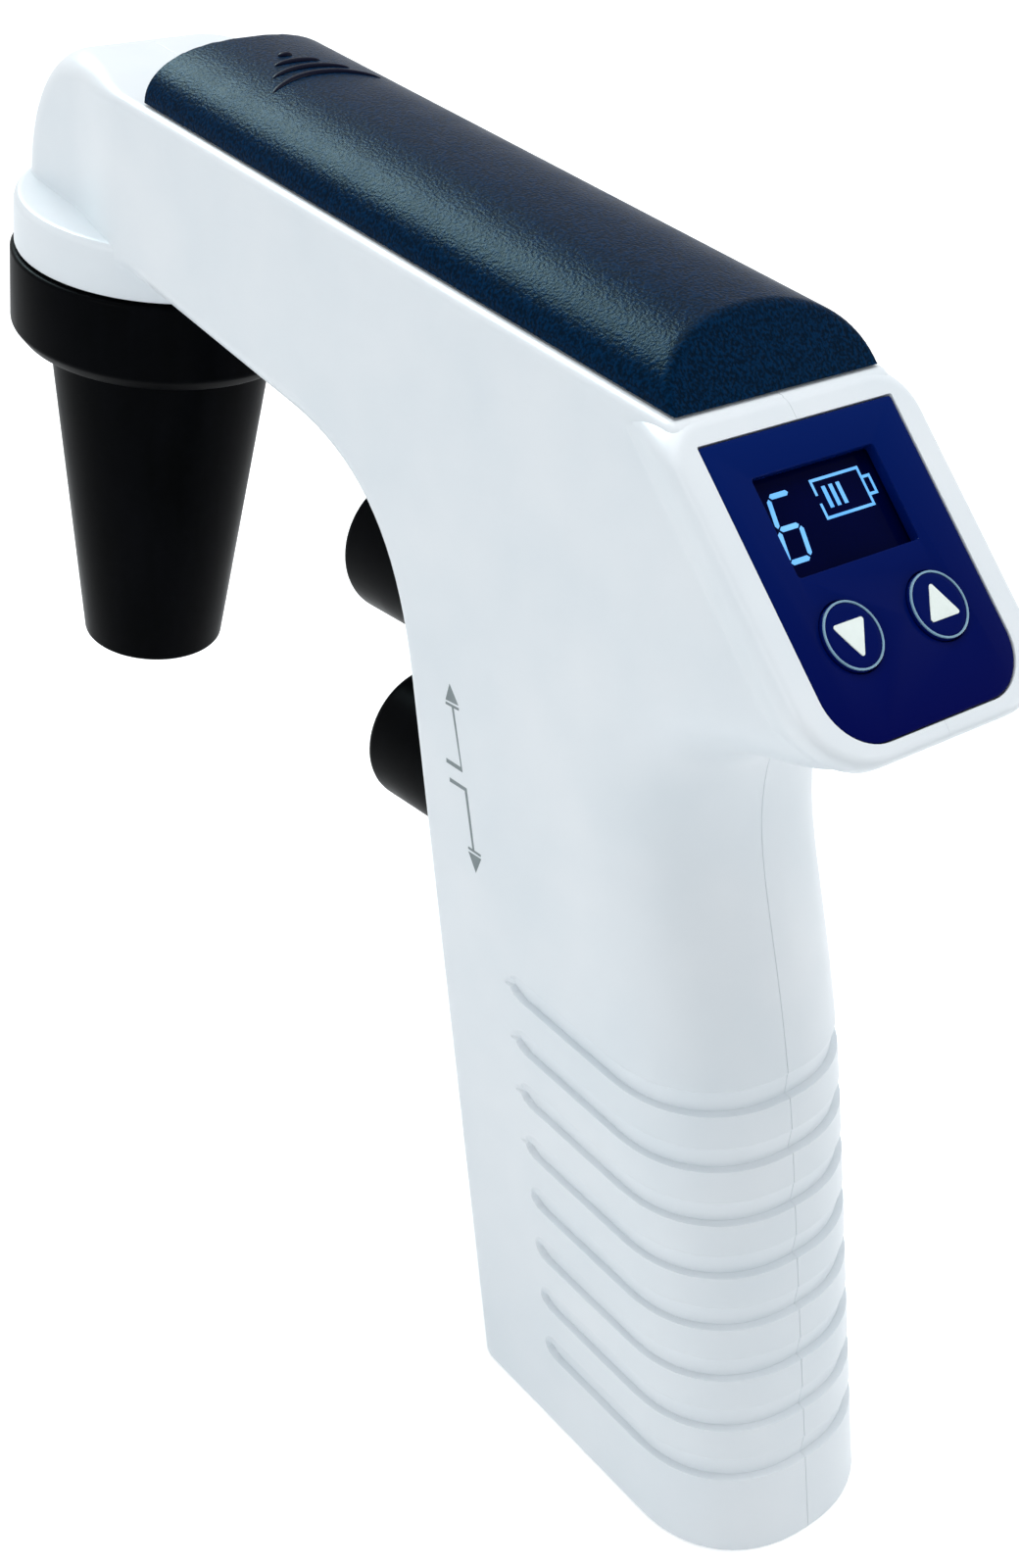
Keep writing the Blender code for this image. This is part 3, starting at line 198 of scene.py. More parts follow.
def newTree(name, inputs):
    # inputs are names with a default number, or with the kind of their socket
    tree = bpy.data.node_groups.new(name, "GeometryNodeTree")
    tree.interface.new_socket("Geometry", in_out="INPUT", socket_type="NodeSocketGeometry")
    for label, value in {**inputs, "Finish": "NodeSocketMaterial"}.items():
        kind = {int: "NodeSocketInt", float: "NodeSocketFloat"}.get(type(value), value)
        socket = tree.interface.new_socket(label, in_out="INPUT", socket_type=kind)
        if kind != value:
            socket.default_value = value
    tree.interface.new_socket("Geometry", in_out="OUTPUT", socket_type="NodeSocketGeometry")
    return tree, addNode(tree, "NodeGroupInput").outputs


def endTree(tree, given, geometry):
    # every tree ends in real geometry with its material
    real = addNode(tree, "GeometryNodeRealizeInstances", {"Geometry": geometry})
    painted = addNode(tree, "GeometryNodeSetMaterial", {
        "Geometry": real.outputs[0], "Material": given["Finish"]})
    addNode(tree, "NodeGroupOutput", {"Geometry": painted.outputs[0]})


def grow(name, seedMesh, tree, values):
    # runs a tree on a seed mesh and keeps the result as a plain mesh
    seed = bpy.data.objects.new(name, seedMesh)
    scene.collection.objects.link(seed)
    modifier = seed.modifiers.new(name, "NODES")
    modifier.node_group = tree
    sockets = {s.name: s.identifier for s in tree.interface.items_tree if s.in_out == "INPUT"}
    for label, value in values.items():
        modifier[sockets[label]] = value
    bpy.context.view_layer.update()
    mesh = bpy.data.meshes.new_from_object(seed.evaluated_get(bpy.context.evaluated_depsgraph_get()))
    seed.modifiers.clear()
    seed.data = mesh
    return seed


# materials

def newMaterial(name):
    material = bpy.data.materials.new(name)
    material.use_nodes = True
    tree = material.node_tree
    return material, tree, tree.nodes["Principled BSDF"]


def grain(tree, sizeMm, detail=2.0, stretch=(1.0, 1.0, 1.0)):
    # noise whose blobs are about sizeMm across on the object
    where = addNode(tree, "ShaderNodeTexCoord").outputs["Object"]
    turned = addNode(tree, "ShaderNodeMapping", {"Scale": stretch, "Vector": where}).outputs[0]
    return addNode(tree, "ShaderNodeTexNoise", {
        "Scale": 1000.0 / sizeMm, "Detail": detail, "Roughness": 0.55, "Vector": turned}).outputs[0]


def between(tree, noise, first, second, start=0.3, end=0.7):
    # from one number or colour to another; noise mostly stays near its middle, so start and end stretch it
    share = addNode(tree, "ShaderNodeMapRange", {0: noise, 1: start, 2: end})
    if not isinstance(first, str):
        return fill(tree, share, {3: first, 4: second}).outputs[0]
    return addNode(tree, "ShaderNodeMix", {
        "data_type": "RGBA", 0: share.outputs[0], 6: srgb(first), 7: srgb(second)}).outputs[2]


def relief(tree, sizeMm, detail, depth):
    # bumps about sizeMm across and depth mm high
    return addNode(tree, "ShaderNodeBump", {
        "Strength": 1.0, "Distance": depth * mm, "Height": grain(tree, sizeMm, detail)}).outputs[0]


def whiteMouldedAbs():
    # ABS from a polished tool: cool white, satin gloss that is a little uneven, faint orange peel
    material, tree, shader = newMaterial("whiteMouldedAbs")
    fill(tree, shader, {
        "Base Color": between(tree, grain(tree, 18.0), "#E6EBEF", "#DFE6EB"),
        "Roughness": between(tree, grain(tree, 7.0, 4.0), 0.29, 0.37), "IOR": 1.53, "Specular IOR Level": 0.3,
        "Normal": relief(tree, 2.4, 1.0, 0.005)})
    return material


def sparkedBlackAbs():
    # ABS from a spark-eroded tool: navy-black with a pebbled grain of about 0.4 mm that breaks up the light;
    # the low specular level keeps the pale studio from greying it at low angles
    material, tree, shader = newMaterial("sparkedBlackAbs")
    fill(tree, shader, {
        "Base Color": between(tree, grain(tree, 0.4, 1.0), "#001226", "#012444", 0.4, 0.65),
        "Roughness": between(tree, grain(tree, 6.0), 0.3, 0.36), "IOR": 1.53, "Specular IOR Level": 0.022,
        "Specular Tint": srgb("#C4FFF4"), "Normal": relief(tree, 0.4, 1.0, 0.09)})
    return material


def blackMouldedAbs():
    # ABS, black, from a smooth tool: satin gloss with the fine scuffs of handling
    material, tree, shader = newMaterial("blackMouldedAbs")
    scuffs = grain(tree, 5.0, 5.0, (1.0, 1.0, 0.25))
    fill(tree, shader, {
        "Base Color": between(tree, scuffs, "#030405", "#07080B"),
        "Roughness": between(tree, scuffs, 0.29, 0.4), "IOR": 1.53, "Specular IOR Level": 0.012,
        "Normal": relief(tree, 0.7, 2.0, 0.004)})
    return material


def navyAcrylic():
    # acrylic sheet painted on its back: deep navy, with a painted sheen that makes it lighter towards its
    # top, under a clear, very smooth face
    material, tree, shader = newMaterial("navyBackPaintedAcrylic")
    where = addNode(tree, "ShaderNodeTexCoord").outputs["Object"]
    # the height drives the painted sheen: the navy turns lighter towards the top, where the light falls
    height = addNode(tree, "ShaderNodeSeparateXYZ", {0: where}).outputs[2]
    fill(tree, shader, {
        "Base Color": between(tree, height, "#01054A", "#011B5C", 0.121, 0.146), "Roughness": 0.12,
        "IOR": 1.49, "Specular IOR Level": 0.02, "Normal": relief(tree, 6.0, 1.0, 0.004)})
    return material


def plain(name, colour, roughness, metallic=0.0, ior=1.5, mottle=0.12, sizeMm=3.0, peel=0.003, gloss=0.5):
    # one colour with a slight mottle and a fine surface; the caller names the real material
    material, tree, shader = newMaterial(name)
    noise = grain(tree, sizeMm, 3.0)
    darker = "#" + "".join("%02X" % int(int(colour[i:i + 2], 16) * (1 - mottle)) for i in (1, 3, 5))
    fill(tree, shader, {
        "Base Color": between(tree, noise, colour, darker), "Metallic": metallic,
        "Roughness": between(tree, noise, roughness * 0.85, roughness * 1.2),
        "Normal": relief(tree, 0.5, 2.0, peel)})
    if not metallic:
        fill(tree, shader, {"IOR": ior, "Specular IOR Level": gloss})
    return material


def litSegment():
    # liquid crystal opened over a blue backlight
    material, tree, shader = newMaterial("litDisplaySegment")
    fill(tree, shader, {
        "Base Color": srgb("#1A4F86"), "Roughness": 0.4, "Emission Strength": 0.95,
        "Emission Color": between(tree, grain(tree, 4.0), "#5FB2FF", "#7CC6FF")})
    return material


whiteAbs = whiteMouldedAbs()
sparkedAbs = sparkedBlackAbs()
blackAbs = blackMouldedAbs()
navyFace = navyAcrylic()
litBlue = litSegment()
# glass over an unlit display: nearly black, with no texture at all
displayGlass = plain("darkDisplayGlass", "#010530", 0.12, ior=1.52, sizeMm=9.0, peel=0.0, gloss=0.01)
# moulded rings and ribs of ABS: an even satin that stays quiet beside the grain; the key rings' pale blue is
# partly a painted highlight on their raised edges
keyRimWithPaintedHighlight = plain("paleBlueKeyRimWithPaintedHighlight", "#7FA6BD", 0.3)
smoothNavy = plain("smoothNavyAbs", "#02051E", 0.34, ior=1.53, gloss=0.06)
# printed inks are matt and nearly even
keyMark = plain("whiteScreenPrint", "#E8F2EE", 0.45, mottle=0.03)
greyInk = plain("greyPadPrint", "#7E898C", 0.55, mottle=0.06)
# natural silicone is cloudy, soft to the eye and picks up dust
silicone = plain("greySilicone", "#A9ADB0", 0.55, ior=1.41, sizeMm=2.0)
# plated steel is bright and warm, with slightly uneven gloss
nickel = plain("nickelPlatedSteel", "#C9C4BA", 0.24, metallic=1.0)
# moulded polypropylene and acetal are milky white and waxy
polypropylene = plain("weldedPolypropylene", "#E2E3DE", 0.38, ior=1.49)
acetal = plain("mouldedAcetal", "#CFCFC8", 0.4, ior=1.48)
# solder mask shows the weave under it as a fine green mottle
circuitGreen = plain("solderMaskOnGlassEpoxy", "#1B6B34", 0.35, ior=1.55, sizeMm=1.2)
# nitrile rubber is dull and greyish black, a shrunk sleeve is tight and shiny
nitrile = plain("mouldedNitrile", "#17181A", 0.65, ior=1.52)
cellSleeve = plain("shrunkCellSleeve", "#1D4E86", 0.33, ior=1.54)
print("materials made")


# the two shells

shell = {
    "halfWidth": 17.0, "wall": 2.2, "topZ": 147.0, "edgeRoll": 3.0, "shoulderRoll": 1.2, "rollPower": 2.2,
    "thinning": 1.8, "baseLength": 49.2, "lean": math.radians(18.25), "frontTopZ": 95.3, "neckX": -8.6,
    "neckZ": 103.0, "swellX": 7.1, "swellZ": 57.4, "palmRoll": 14.0, "neckRoll": 5.2, "neckAcross": 6.5,
    "joinZ": 66.0, "undersideX": -83.8, "undersideZ": 119.4, "beamEndX": -124.6, "beamEndZ": 122.5,
    "noseX": -140.4, "noseHalf": 14.6, "tipHalf": 13.6, "blendStart": -127.0, "blendEnd": -143.0,
    "noseBackX": -143.0, "flangeRadius": 21.8, "flangeTop": 125.95, "flangeHeight": 7.95, "neckBore": 9.0,
    "bayFront": -105.0, "bayRear": -27.0, "bayHalf": 11.3, "bayDepth": 4.4, "chargeX": 10.0,
    "chargeBore": 2.8, "chargeDepth": 3.2, "seam": 0.018, "seamEdge": 0.07, "levels": 14, "hollowLevels": 6,
}
grooves = {
    "count": 8, "topZ": 61.94, "pitch": 7.274, "height": 3.1, "depth": 1.0, "floor": 0.14, "fromFront": 16.6,
    "endLength": 2.5, "lowerEdge": 0.06, "upperEdge": 0.2,
}
display = {
    "topX": -14.25, "topZ": 145.1, "slope": math.radians(39.2), "length": 36.0, "halfWidth": 14.86,
    "corner": 6.5, "thick": 1.5, "gap": 0.2, "ledge": 2.4, "rim": 2.2, "rimHalf": 18.8, "rimCorner": 5.0,
    "openDepth": 10.5, "window": ((4.75, -9.9), (16.6, 9.0)), "windowCorner": 0.4, "keyDown": 24.3,
    "keyAcross": 6.8, "keyRadius": 4.1, "keyProud": 0.35, "keyGap": 0.12, "keyTriangle": (2.75, 2.45),
}


def onFace(down, y, depth):
    x = display["topX"] + down * math.cos(display["slope"]) - depth * math.sin(display["slope"])
    z = display["topZ"] - down * math.sin(display["slope"]) - depth * math.cos(display["slope"])
    return x, y, z


def onNose(x, y, z):
    return shell["noseX"] + x, y, z


def ease(value, start, end):
    t = min(max((value - start) / (end - start), 0.0), 1.0)
    return t * t * (3 - 2 * t)


def halfWidthAt(x):
    tipX = shell["noseX"] - shell["flangeRadius"]
    nose = shell["noseHalf"] + (shell["tipHalf"] - shell["noseHalf"]) * ease(x, shell["noseBackX"], tipX)
    return shell["halfWidth"] + (nose - shell["halfWidth"]) * ease(x, shell["blendStart"], shell["blendEnd"])


def bezier(start, pullStart, pullEnd, end, steps):
    found = []
    for i in range(1, steps + 1):
        t = i / steps
        u = 1 - t
        weights = (u * u * u, 3 * u * u * t, 3 * u * t * t, t * t * t)
        handles = zip(weights, (start, pullStart, pullEnd, end))
        found.append(tuple(map(sum, zip(*[(w * p[0], w * p[1]) for w, p in handles]))))
    return found


def frontX(z):
    return -shell["baseLength"] / 2 - z * math.tan(shell["lean"])


rearSlope = (shell["baseLength"] / 2 - shell["swellX"]) / shell["swellZ"]
rearCurve = bezier((shell["swellX"], shell["swellZ"]),
                   (shell["swellX"] - rearSlope * 28, shell["swellZ"] + 26),
                   (shell["neckX"], shell["neckZ"] - 13), (shell["neckX"], shell["neckZ"]), 60)
rearCurve.insert(0, (shell["swellX"], shell["swellZ"]))


def rearX(z):
    if z <= shell["swellZ"]:
        return shell["baseLength"] / 2 - rearSlope * z
    for (x0, z0), (x1, z1) in zip(rearCurve, rearCurve[1:]):
        if z <= z1:
            return x0 + (x1 - x0) * (z - z0) / (z1 - z0)
    return rearCurve[-1][0]


def rearStretch(z):
    tilt = (rearX(z + 0.5) - rearX(z - 0.5)) if z < shell["neckZ"] - 0.6 else 0.0
    return math.sqrt(1 + tilt * tilt)


def noseStations():
    count = 12
    start = shell["blendStart"]
    return [start + (shell["noseBackX"] - start) * i / count for i in range(count + 1)]


def upperOutline():
    # x, z, roll of the side that ends there, how far it rolls across, and whether it stays at its level
    s = shell
    full = s["halfWidth"] - 0.5
    entries = []

    def run(points, roll, across, endRoll=None, endAcross=None, level=0):
        for i, (x, z) in enumerate(points):
            t = (i + 1) / len(points)
            entries.append((x, z, roll + ((endRoll or roll) - roll) * t,
                            across + ((endAcross or across) - across) * t, level))

    rows = [s["joinZ"] + (s["neckZ"] - s["joinZ"]) * i / 16 for i in range(17)]
    run([(rearX(z), z) for z in rows], s["palmRoll"], full, level=1)
    edge = onFace(display["length"] + display["rim"] - 0.8, 0, 0.6)
    run(bezier((s["neckX"], s["neckZ"]), (s["neckX"], s["neckZ"] + 9), (edge[0] - 6, edge[2] - 8),
               (edge[0], edge[2]), 18), s["palmRoll"], full, s["neckRoll"], s["neckAcross"])
    corner = onFace(-(s["topZ"] - display["topZ"]) / math.sin(display["slope"]), 0, 0)
    low = onFace(display["length"] * 0.6, 0, 0.6)
    high = onFace(3.0, 0, 0.6)
    run([(low[0], low[2]), (high[0], high[2])], 1.5, 1.5)
    run([(corner[0] + 0.6, s["topZ"] - 1.1), (corner[0] + 0.1, s["topZ"] - 0.55),
         (corner[0] - 0.5, s["topZ"] - 0.15), (corner[0] - 1.4, s["topZ"])],
         s["shoulderRoll"], s["shoulderRoll"])
    run([(x, s["topZ"]) for x in noseStations()], s["shoulderRoll"], s["shoulderRoll"], 4.0, 4.0)
    tip = s["noseX"] - s["flangeRadius"] + 1.0
    run(bezier((s["noseBackX"], s["topZ"]), (s["noseBackX"] - 9, s["topZ"]), (tip + 1, s["topZ"] - 9),
               (tip, s["flangeTop"]), 16), 4.5, 4.5, 8.0, s["tipHalf"] - 1)
    run([(tip, s["beamEndZ"])], 8.0, s["tipHalf"] - 1)
    run([(x, s["beamEndZ"]) for x in reversed(noseStations())], 0.0, s["edgeRoll"])
    run([(s["beamEndX"], s["beamEndZ"]), (s["undersideX"], s["undersideZ"])], s["edgeRoll"], s["edgeRoll"])
    frontTop = (frontX(s["frontTopZ"]), s["frontTopZ"])
    run(bezier((s["undersideX"], s["undersideZ"]), (s["undersideX"] + 15, s["undersideZ"] - 1.4),
               (frontTop[0] - 5, frontTop[1] + 15), frontTop, 18), s["edgeRoll"], s["edgeRoll"])
    rows = [s["frontTopZ"] + (s["joinZ"] - s["frontTopZ"]) * i / 6 for i in range(1, 7)]
    run([(frontX(z), z) for z in rows], s["edgeRoll"], s["edgeRoll"], level=-1)
    return entries


def insetOutline(entries, distances):
    moved = []
    for i, (x, z, roll, across, level) in enumerate(entries):
        if level == 1:
            moved.append(Vector((x - distances[i] * rearStretch(z), z)))
            continue
        if level == -1:
            moved.append(Vector((x + distances[i] / math.cos(shell["lean"]), z)))
            continue
        before = Vector(entries[i - 1][:2])
        here = Vector((x, z))
        after = Vector(entries[(i + 1) % len(entries)][:2])
        a = (here - before).normalized()
        b = (after - here).normalized()
        sideA = Vector((-a.y, a.x))
        sideB = Vector((-b.y, b.x))
        distA = distances[i]
        distB = distances[(i + 1) % len(entries)]
        if a.dot(b) > 0.8:
            middle = (sideA + sideB).normalized()
            moved.append(here + middle * (distA + distB) / (2 * middle.dot(sideA)))
            continue
        startA = here + sideA * distA
        gap = here + sideB * distB - startA
        moved.append(startA + a * (gap.x * b.y - gap.y * b.x) / (a.x * b.y - a.y * b.x))
    return moved


def rollSteps(levels):
    steps = []
    for level in range(levels + 1):
        angle = math.radians(90 * level / levels)
        inward = 1 - math.cos(angle) ** (2 / shell["rollPower"]) if level < levels else 1.0
        steps.append((inward, math.sin(angle) ** (2 / shell["rollPower"]), angle))
    return steps


def grooveDepth(z, fromFront):
    # the floor leans in towards the lower edge; both edges are crisp, and the end near the front is blunt
    g = grooves
    t = min(max((fromFront - g["fromFront"]) / g["endLength"], 0.0), 1.0)
    spread = math.sqrt(1 - (1 - t) ** 2)
    if spread < 0.02:
        return 0.0
    for i in range(g["count"]):
        middle = g["topZ"] - i * g["pitch"] + g["height"] / 2
        half = g["height"] / 2 * spread
        low, high = middle - half, middle + half
        if low - g["lowerEdge"] < z < high:
            up = max((z - low) / (2 * half), 0.0)
            lower = ease(z, low - g["lowerEdge"], low + g["lowerEdge"])
            upper = 1 - ease(z, high - g["upperEdge"], high)
            ramp = g["floor"] + (1 - g["floor"]) * (1 - up)
            return g["depth"] * min(spread * 1.8, 1.0) * ramp * lower * upper
    return 0.0


def gripRow(z, wall, start, shrink=0.0):
    # one level of the grip, from the seam at the back round to the seam at the front
    s = shell
    full = s["halfWidth"] - 0.5
    half = s["halfWidth"] - wall - shrink
    rearRoll = wall + max(s["palmRoll"] - s["thinning"] * wall, 0.1 * wall)
    frontRoll = wall + max(s["edgeRoll"] - s["thinning"] * wall, 0.1 * wall)
    rearRise = max(full - wall, 0.4)
    frontRise = max(s["edgeRoll"] - wall, 0.4)
    stretch = rearStretch(z)
    frontStretch = 1 / math.cos(s["lean"])
    rear = rearX(z) - shrink
    front = frontX(z) + shrink
    row = []

    def put(x, y, aheadX, aheadY):
        depth = grooveDepth(z, x - frontX(z)) if not wall else 0.0
        row.append((x - aheadX * depth, y - aheadY * depth, z))

    steps = rollSteps(s["hollowLevels"] if wall else s["levels"])
    if not wall:
        put(rear - s["seamEdge"] * stretch, start, 1, 0)
        put(rear, start + s["seamEdge"], 1, 0)
    else:
        put(rear - wall * stretch, start, 1, 0)
    for inward, outward, angle in steps:
        x = rear - (wall + (rearRoll - wall) * inward) * stretch
        put(x, half - rearRise + rearRise * outward, math.cos(angle), math.sin(angle))
    width = rearX(z) - frontX(z)
    # closest together where the grooves end
    for distance in (31.0, 27.0, 23.0, 20.5, 19.1, 18.5, 18.0, 17.6, 17.3, 17.05, 16.85, 16.7, 16.6, 15.5,
                     12.0, 8.0):
        put(frontX(z) + distance * width / 50.0, half, 0, 1)
    for inward, outward, angle in reversed(steps):
        x = front + (wall + (frontRoll - wall) * inward) * frontStretch
        put(x, half - frontRise + frontRise * outward, 0, 0)
    if not wall:
        put(front, start + s["seamEdge"], 0, 0)
        put(front + s["seamEdge"] * frontStretch, start, 0, 0)
    else:
        put(front + wall * frontStretch, start, 0, 0)
    return row


def halfBody(wall, start):
    # one side of the body as a closed solid; wall 0 is the outside, more is the hollow
    s = shell
    entries = upperOutline()
    rings = []
    for inward, outward, angle in rollSteps(s["hollowLevels"] if wall else s["levels"]):
        distances = [wall + max(e[2] - s["thinning"] * wall, 0.1 * wall) * inward for e in entries]
        flat = insetOutline(entries, distances)
        ring = []
        for entry, p in zip(entries, flat):
            rise = max(entry[3] - wall, 0.4)
            ring.append((p.x, halfWidthAt(p.x) - wall - rise + rise * outward, p.y))
        rings.append(ring)
    if wall:
        rings.insert(0, [(p[0], start, p[2]) for p in rings[0]])
    else:
        flat = insetOutline(entries, [s["seamEdge"] for e in entries])
        rings.insert(0, [(p[0], start + s["seamEdge"], p[2]) for p in rings[0]])
        rings.insert(0, [(p.x, start, p.y) for p in flat])
    count = len(entries)
    points = [p for ring in rings for p in ring]
    faces = gridFaces(len(rings), count)
    last = len(points) - count
    stations = len(noseStations())
    blended = [i for i, e in enumerate(entries) if e[0] <= s["blendStart"] + 1e-6]
    tops = [i for i in blended if entries[i][1] == s["topZ"]][:stations]
    bottoms = [i for i in blended if entries[i][1] == s["beamEndZ"]][-stations:]
    faces.append(tuple(last + i for i in range(tops[-1], bottoms[0] + 1)))
    for k in range(stations - 1):
        faces.append((last + tops[k], last + tops[k + 1], last + bottoms[stations - 2 - k],
                      last + bottoms[stations - 1 - k]))

    # the rows of the grip, closest together at the grooves
    zs = {round(s["joinZ"], 3)}
    base = wall if wall else 0.6
    z = base
    while z < s["joinZ"]:
        zs.add(round(z, 3))
        z += 3.0 if wall else 1.0
    if not wall:
        for i in range(grooves["count"]):
            low = grooves["topZ"] - i * grooves["pitch"]
            edge = grooves["lowerEdge"]
            zs.update(round(low + d, 3) for d in (-0.3, -edge, 0.0, edge, 0.15))
            zs.update(round(low + grooves["height"] * k / 14, 3) for k in range(1, 16))
    rows = [gripRow(z, wall, start) for z in sorted(zs)]
    if not wall:
        foot = [gripRow(z, 0.0, start, shrink) for z, shrink in ((0.0, 0.6), (0.08, 0.3), (0.3, 0.08))]
        rows = foot + rows
    width = len(rows[0])
    first = len(points)
    for row in rows:
        points += row
    faces += gridFaces(len(rows), width, first)
    top = first + (len(rows) - 1) * width
    edge = len(rings)
    joined = [top + i for i in range(edge, width - edge)]
    faces.append(tuple([last + i for i in range(bottoms[-1], count)] + list(reversed(joined))
                       + [last + i for i in range(0, tops[0] + 1)]))
    faces.append(tuple(range(first, first + width)))
    seamLoop = list(range(count))
    seamLoop += [first + r * width + width - 1 for r in reversed(range(len(rows)))]
    seamLoop += [first + r * width for r in range(len(rows))]
    faces.append(tuple(seamLoop))
    return points, faces


def halfDisc(radius, start, sides=72):
    floor = math.asin(start / radius)
    return [(radius * math.cos(floor + (math.pi - 2 * floor) * k / sides),
             radius * math.sin(floor + (math.pi - 2 * floor) * k / sides)) for k in range(sides + 1)]


def rimShape(start):
    # the raised rim round the display: a lip that runs out of the body's sides, and tucks in under the chin
    # depth, then how much less it reaches at the sides and the bottom, and how much more at the top
    profile = ((0.0, 1.0, 1.0, 0.0), (0.08, 0.62, 0.62, 0.35),
               (0.25, 0.32, 0.32, 0.5), (0.5, 0.12, 0.12, 0.6),
               (0.9, 0.0, 0.0, 0.7), (1.6, 0.0, 0.0, 0.8), (2.4, 0.12, 0.1, 0.8), (3.3, 0.45, 0.42, 0.8),
               (4.2, 0.88, 0.9, 0.8), (5.2, 1.3, 1.4, 0.8), (6.2, 1.62, 2.0, 0.8), (7.2, 1.95, 3.2, 0.8),
               (8.4, 2.4, 5.5, 0.8), (9.6, 2.9, 9.0, 0.8))
    rings = []
    for depth, sideLess, bottomLess, topMore in profile:
        side = display["rimHalf"] - sideLess
        top = -2.0 - 1.226 * depth - topMore
        bottom = display["length"] + display["rim"] - bottomLess
        outline = softened([(top, start, 0), (bottom, start, 0),
                            (bottom, side, display["corner"] + display["rim"]),
                            (top, side, display["rimCorner"])], 14)
        rings.append([onFace(a, b, depth) for a, b in outline])
    return loft(rings)


def triggerPlace(front):
    tilt = math.radians(6.7)

    def place(a, b, inward):
        x = front[0] + inward * math.cos(tilt) - b * math.sin(tilt)
        z = front[1] + inward * math.sin(tilt) + b * math.cos(tilt)
        return x, a, z
    return place


triggers = {
    "fronts": {"aspirate": (-79.9, 98.65), "dispense": (-71.0, 72.6)},
    "radius": 9.9, "length": 31.0, "edge": 1.5, "gap": 0.3,
}
screws = {
    "spots": [(-112.0, 130.0), (-30.0, 121.0), (-28.0, 47.0), (-16.0, 8.0)],
    "headRadius": 2.4, "recess": 3.0,
}


def makeShells():
    s = shell
    d = display
    right = newPiece("shellRight", *halfBody(0.0, s["seam"]))
    weld(right, rimShape(s["seam"]))
    high = s["flangeTop"]
    low = high - s["flangeHeight"]
    levels = [(low, 0.5), (low + 0.15, 0.15), (low + 0.5, 0.0), (high - 1.4, 0.0), (high - 0.7, 0.18),
              (high - 0.2, 0.6), (high, 1.3)]  # the flange's height and how much less than its radius
    weld(right, loft([[onNose(x, y, z) for x, y in halfDisc(s["flangeRadius"] - less, s["seam"])]
                      for z, less in levels]))
    carve(right, halfBody(s["wall"], -1.0))
    carve(right, bar(s["neckBore"], low - 1, high + 1, onNose))
    carve(right, block((s["bayFront"], -1.0, s["topZ"] - s["bayDepth"]),
                       (s["bayRear"], s["bayHalf"], s["topZ"] + 5)))
    for less, corner, near, far in ((-d["gap"], 0.3, -1.0, d["thick"] + 0.3),
                                    (d["ledge"], 0, -1.0, d["openDepth"])):
        # the recess that the fascia sits in, then the opening behind it
        hole = softened([(less, -1.0, 0), (d["length"] - less, -1.0, 0),
                         (d["length"] - less, d["halfWidth"] - less, d["corner"] - less),
                         (less, d["halfWidth"] - less, corner)], 14 if corner else 8)
        carve(right, prism(hole, onFace, near, far))
    for front in triggers["fronts"].values():
        carve(right, bar(triggers["radius"] + triggers["gap"], 8.0, 27.5, triggerPlace(front), 96))
    carve(right, bar(s["chargeBore"], -1.0, s["chargeDepth"], lambda a, b, h: (s["chargeX"] + a, b, h), 32))
    left = bpy.data.objects.new("shellLeft", right.data.copy())
    scene.collection.objects.link(left)
    for vertex in left.data.vertices:
        vertex.co.y = -vertex.co.y
    left.data.flip_normals()
    for spot in screws["spots"]:
        carve(right, bar(screws["headRadius"] + 0.3, s["halfWidth"] - screws["recess"], s["halfWidth"] + 1,
                         lambda a, b, h: (spot[0] + a, h, spot[1] + b), 40))
    wear(right, whiteAbs, "body", ["housing_right"], 30)
    wear(left, whiteAbs, "body", ["housing_left"], 30)
    for item in (right, left):
        weighted = item.modifiers.new("weighted", "WEIGHTED_NORMAL")
        weighted.keep_sharp = True
        weighted.weight = 60
        print(item.name, len(item.data.polygons), "faces")


makeShells()
print("shells made")


# turned pieces: one tree turns a closed profile round an axis

guideRadius = 0.02
turnedTree, given = newTree("turnedPiece", {"Sides": 96, "Guide Radius": guideRadius})
circle = addNode(turnedTree, "GeometryNodeCurvePrimitiveCircle", {
    "Resolution": given["Sides"], "Radius": given["Guide Radius"]})
level = addNode(turnedTree, "GeometryNodeSetCurveNormal", {"mode": "Z_UP", "Curve": circle.outputs["Curve"]})
outline = addNode(turnedTree, "GeometryNodeMeshToCurve", {"Mesh": given["Geometry"]})
swept = addNode(turnedTree, "GeometryNodeCurveToMesh", {
    "Curve": level.outputs[0], "Profile Curve": outline.outputs[0]})
closed = addNode(turnedTree, "GeometryNodeMergeByDistance", {
    "Distance": 0.000002, "Geometry": swept.outputs[0]})
endTree(turnedTree, given, closed.outputs[0])


def turn(name, corners, place, finish, sides=96, steps=4):
    # corners are (radius, height, rounding), closed; place puts (x, y, height) in space
    outline = softened(corners, steps)
    count = len(outline)
    seed = bpy.data.meshes.new(name)
    seed.from_pydata([(r * mm - guideRadius, -h * mm, 0) for r, h in outline],
                     [(i, (i + 1) % count) for i in range(count)], [])
    item = grow(name, seed, turnedTree, {"Sides": sides, "Guide Radius": guideRadius, "Finish": finish})
    for vertex in item.data.vertices:
        vertex.co = toRow(place(vertex.co.x / mm, vertex.co.y / mm, vertex.co.z / mm))
    form = bmesh.new()
    form.from_mesh(item.data)
    bmesh.ops.delete(form, geom=[e for e in form.edges if not e.link_faces], context="EDGES")
    bmesh.ops.recalc_face_normals(form, faces=form.faces[:])
    form.to_mesh(item.data)
    form.free()
    return item


def wearTurned(name, corners, place, sides, finish, body, nodes=(), steps=4):
    return wear(turn(name, corners, place, finish, sides, steps), finish, body, nodes)


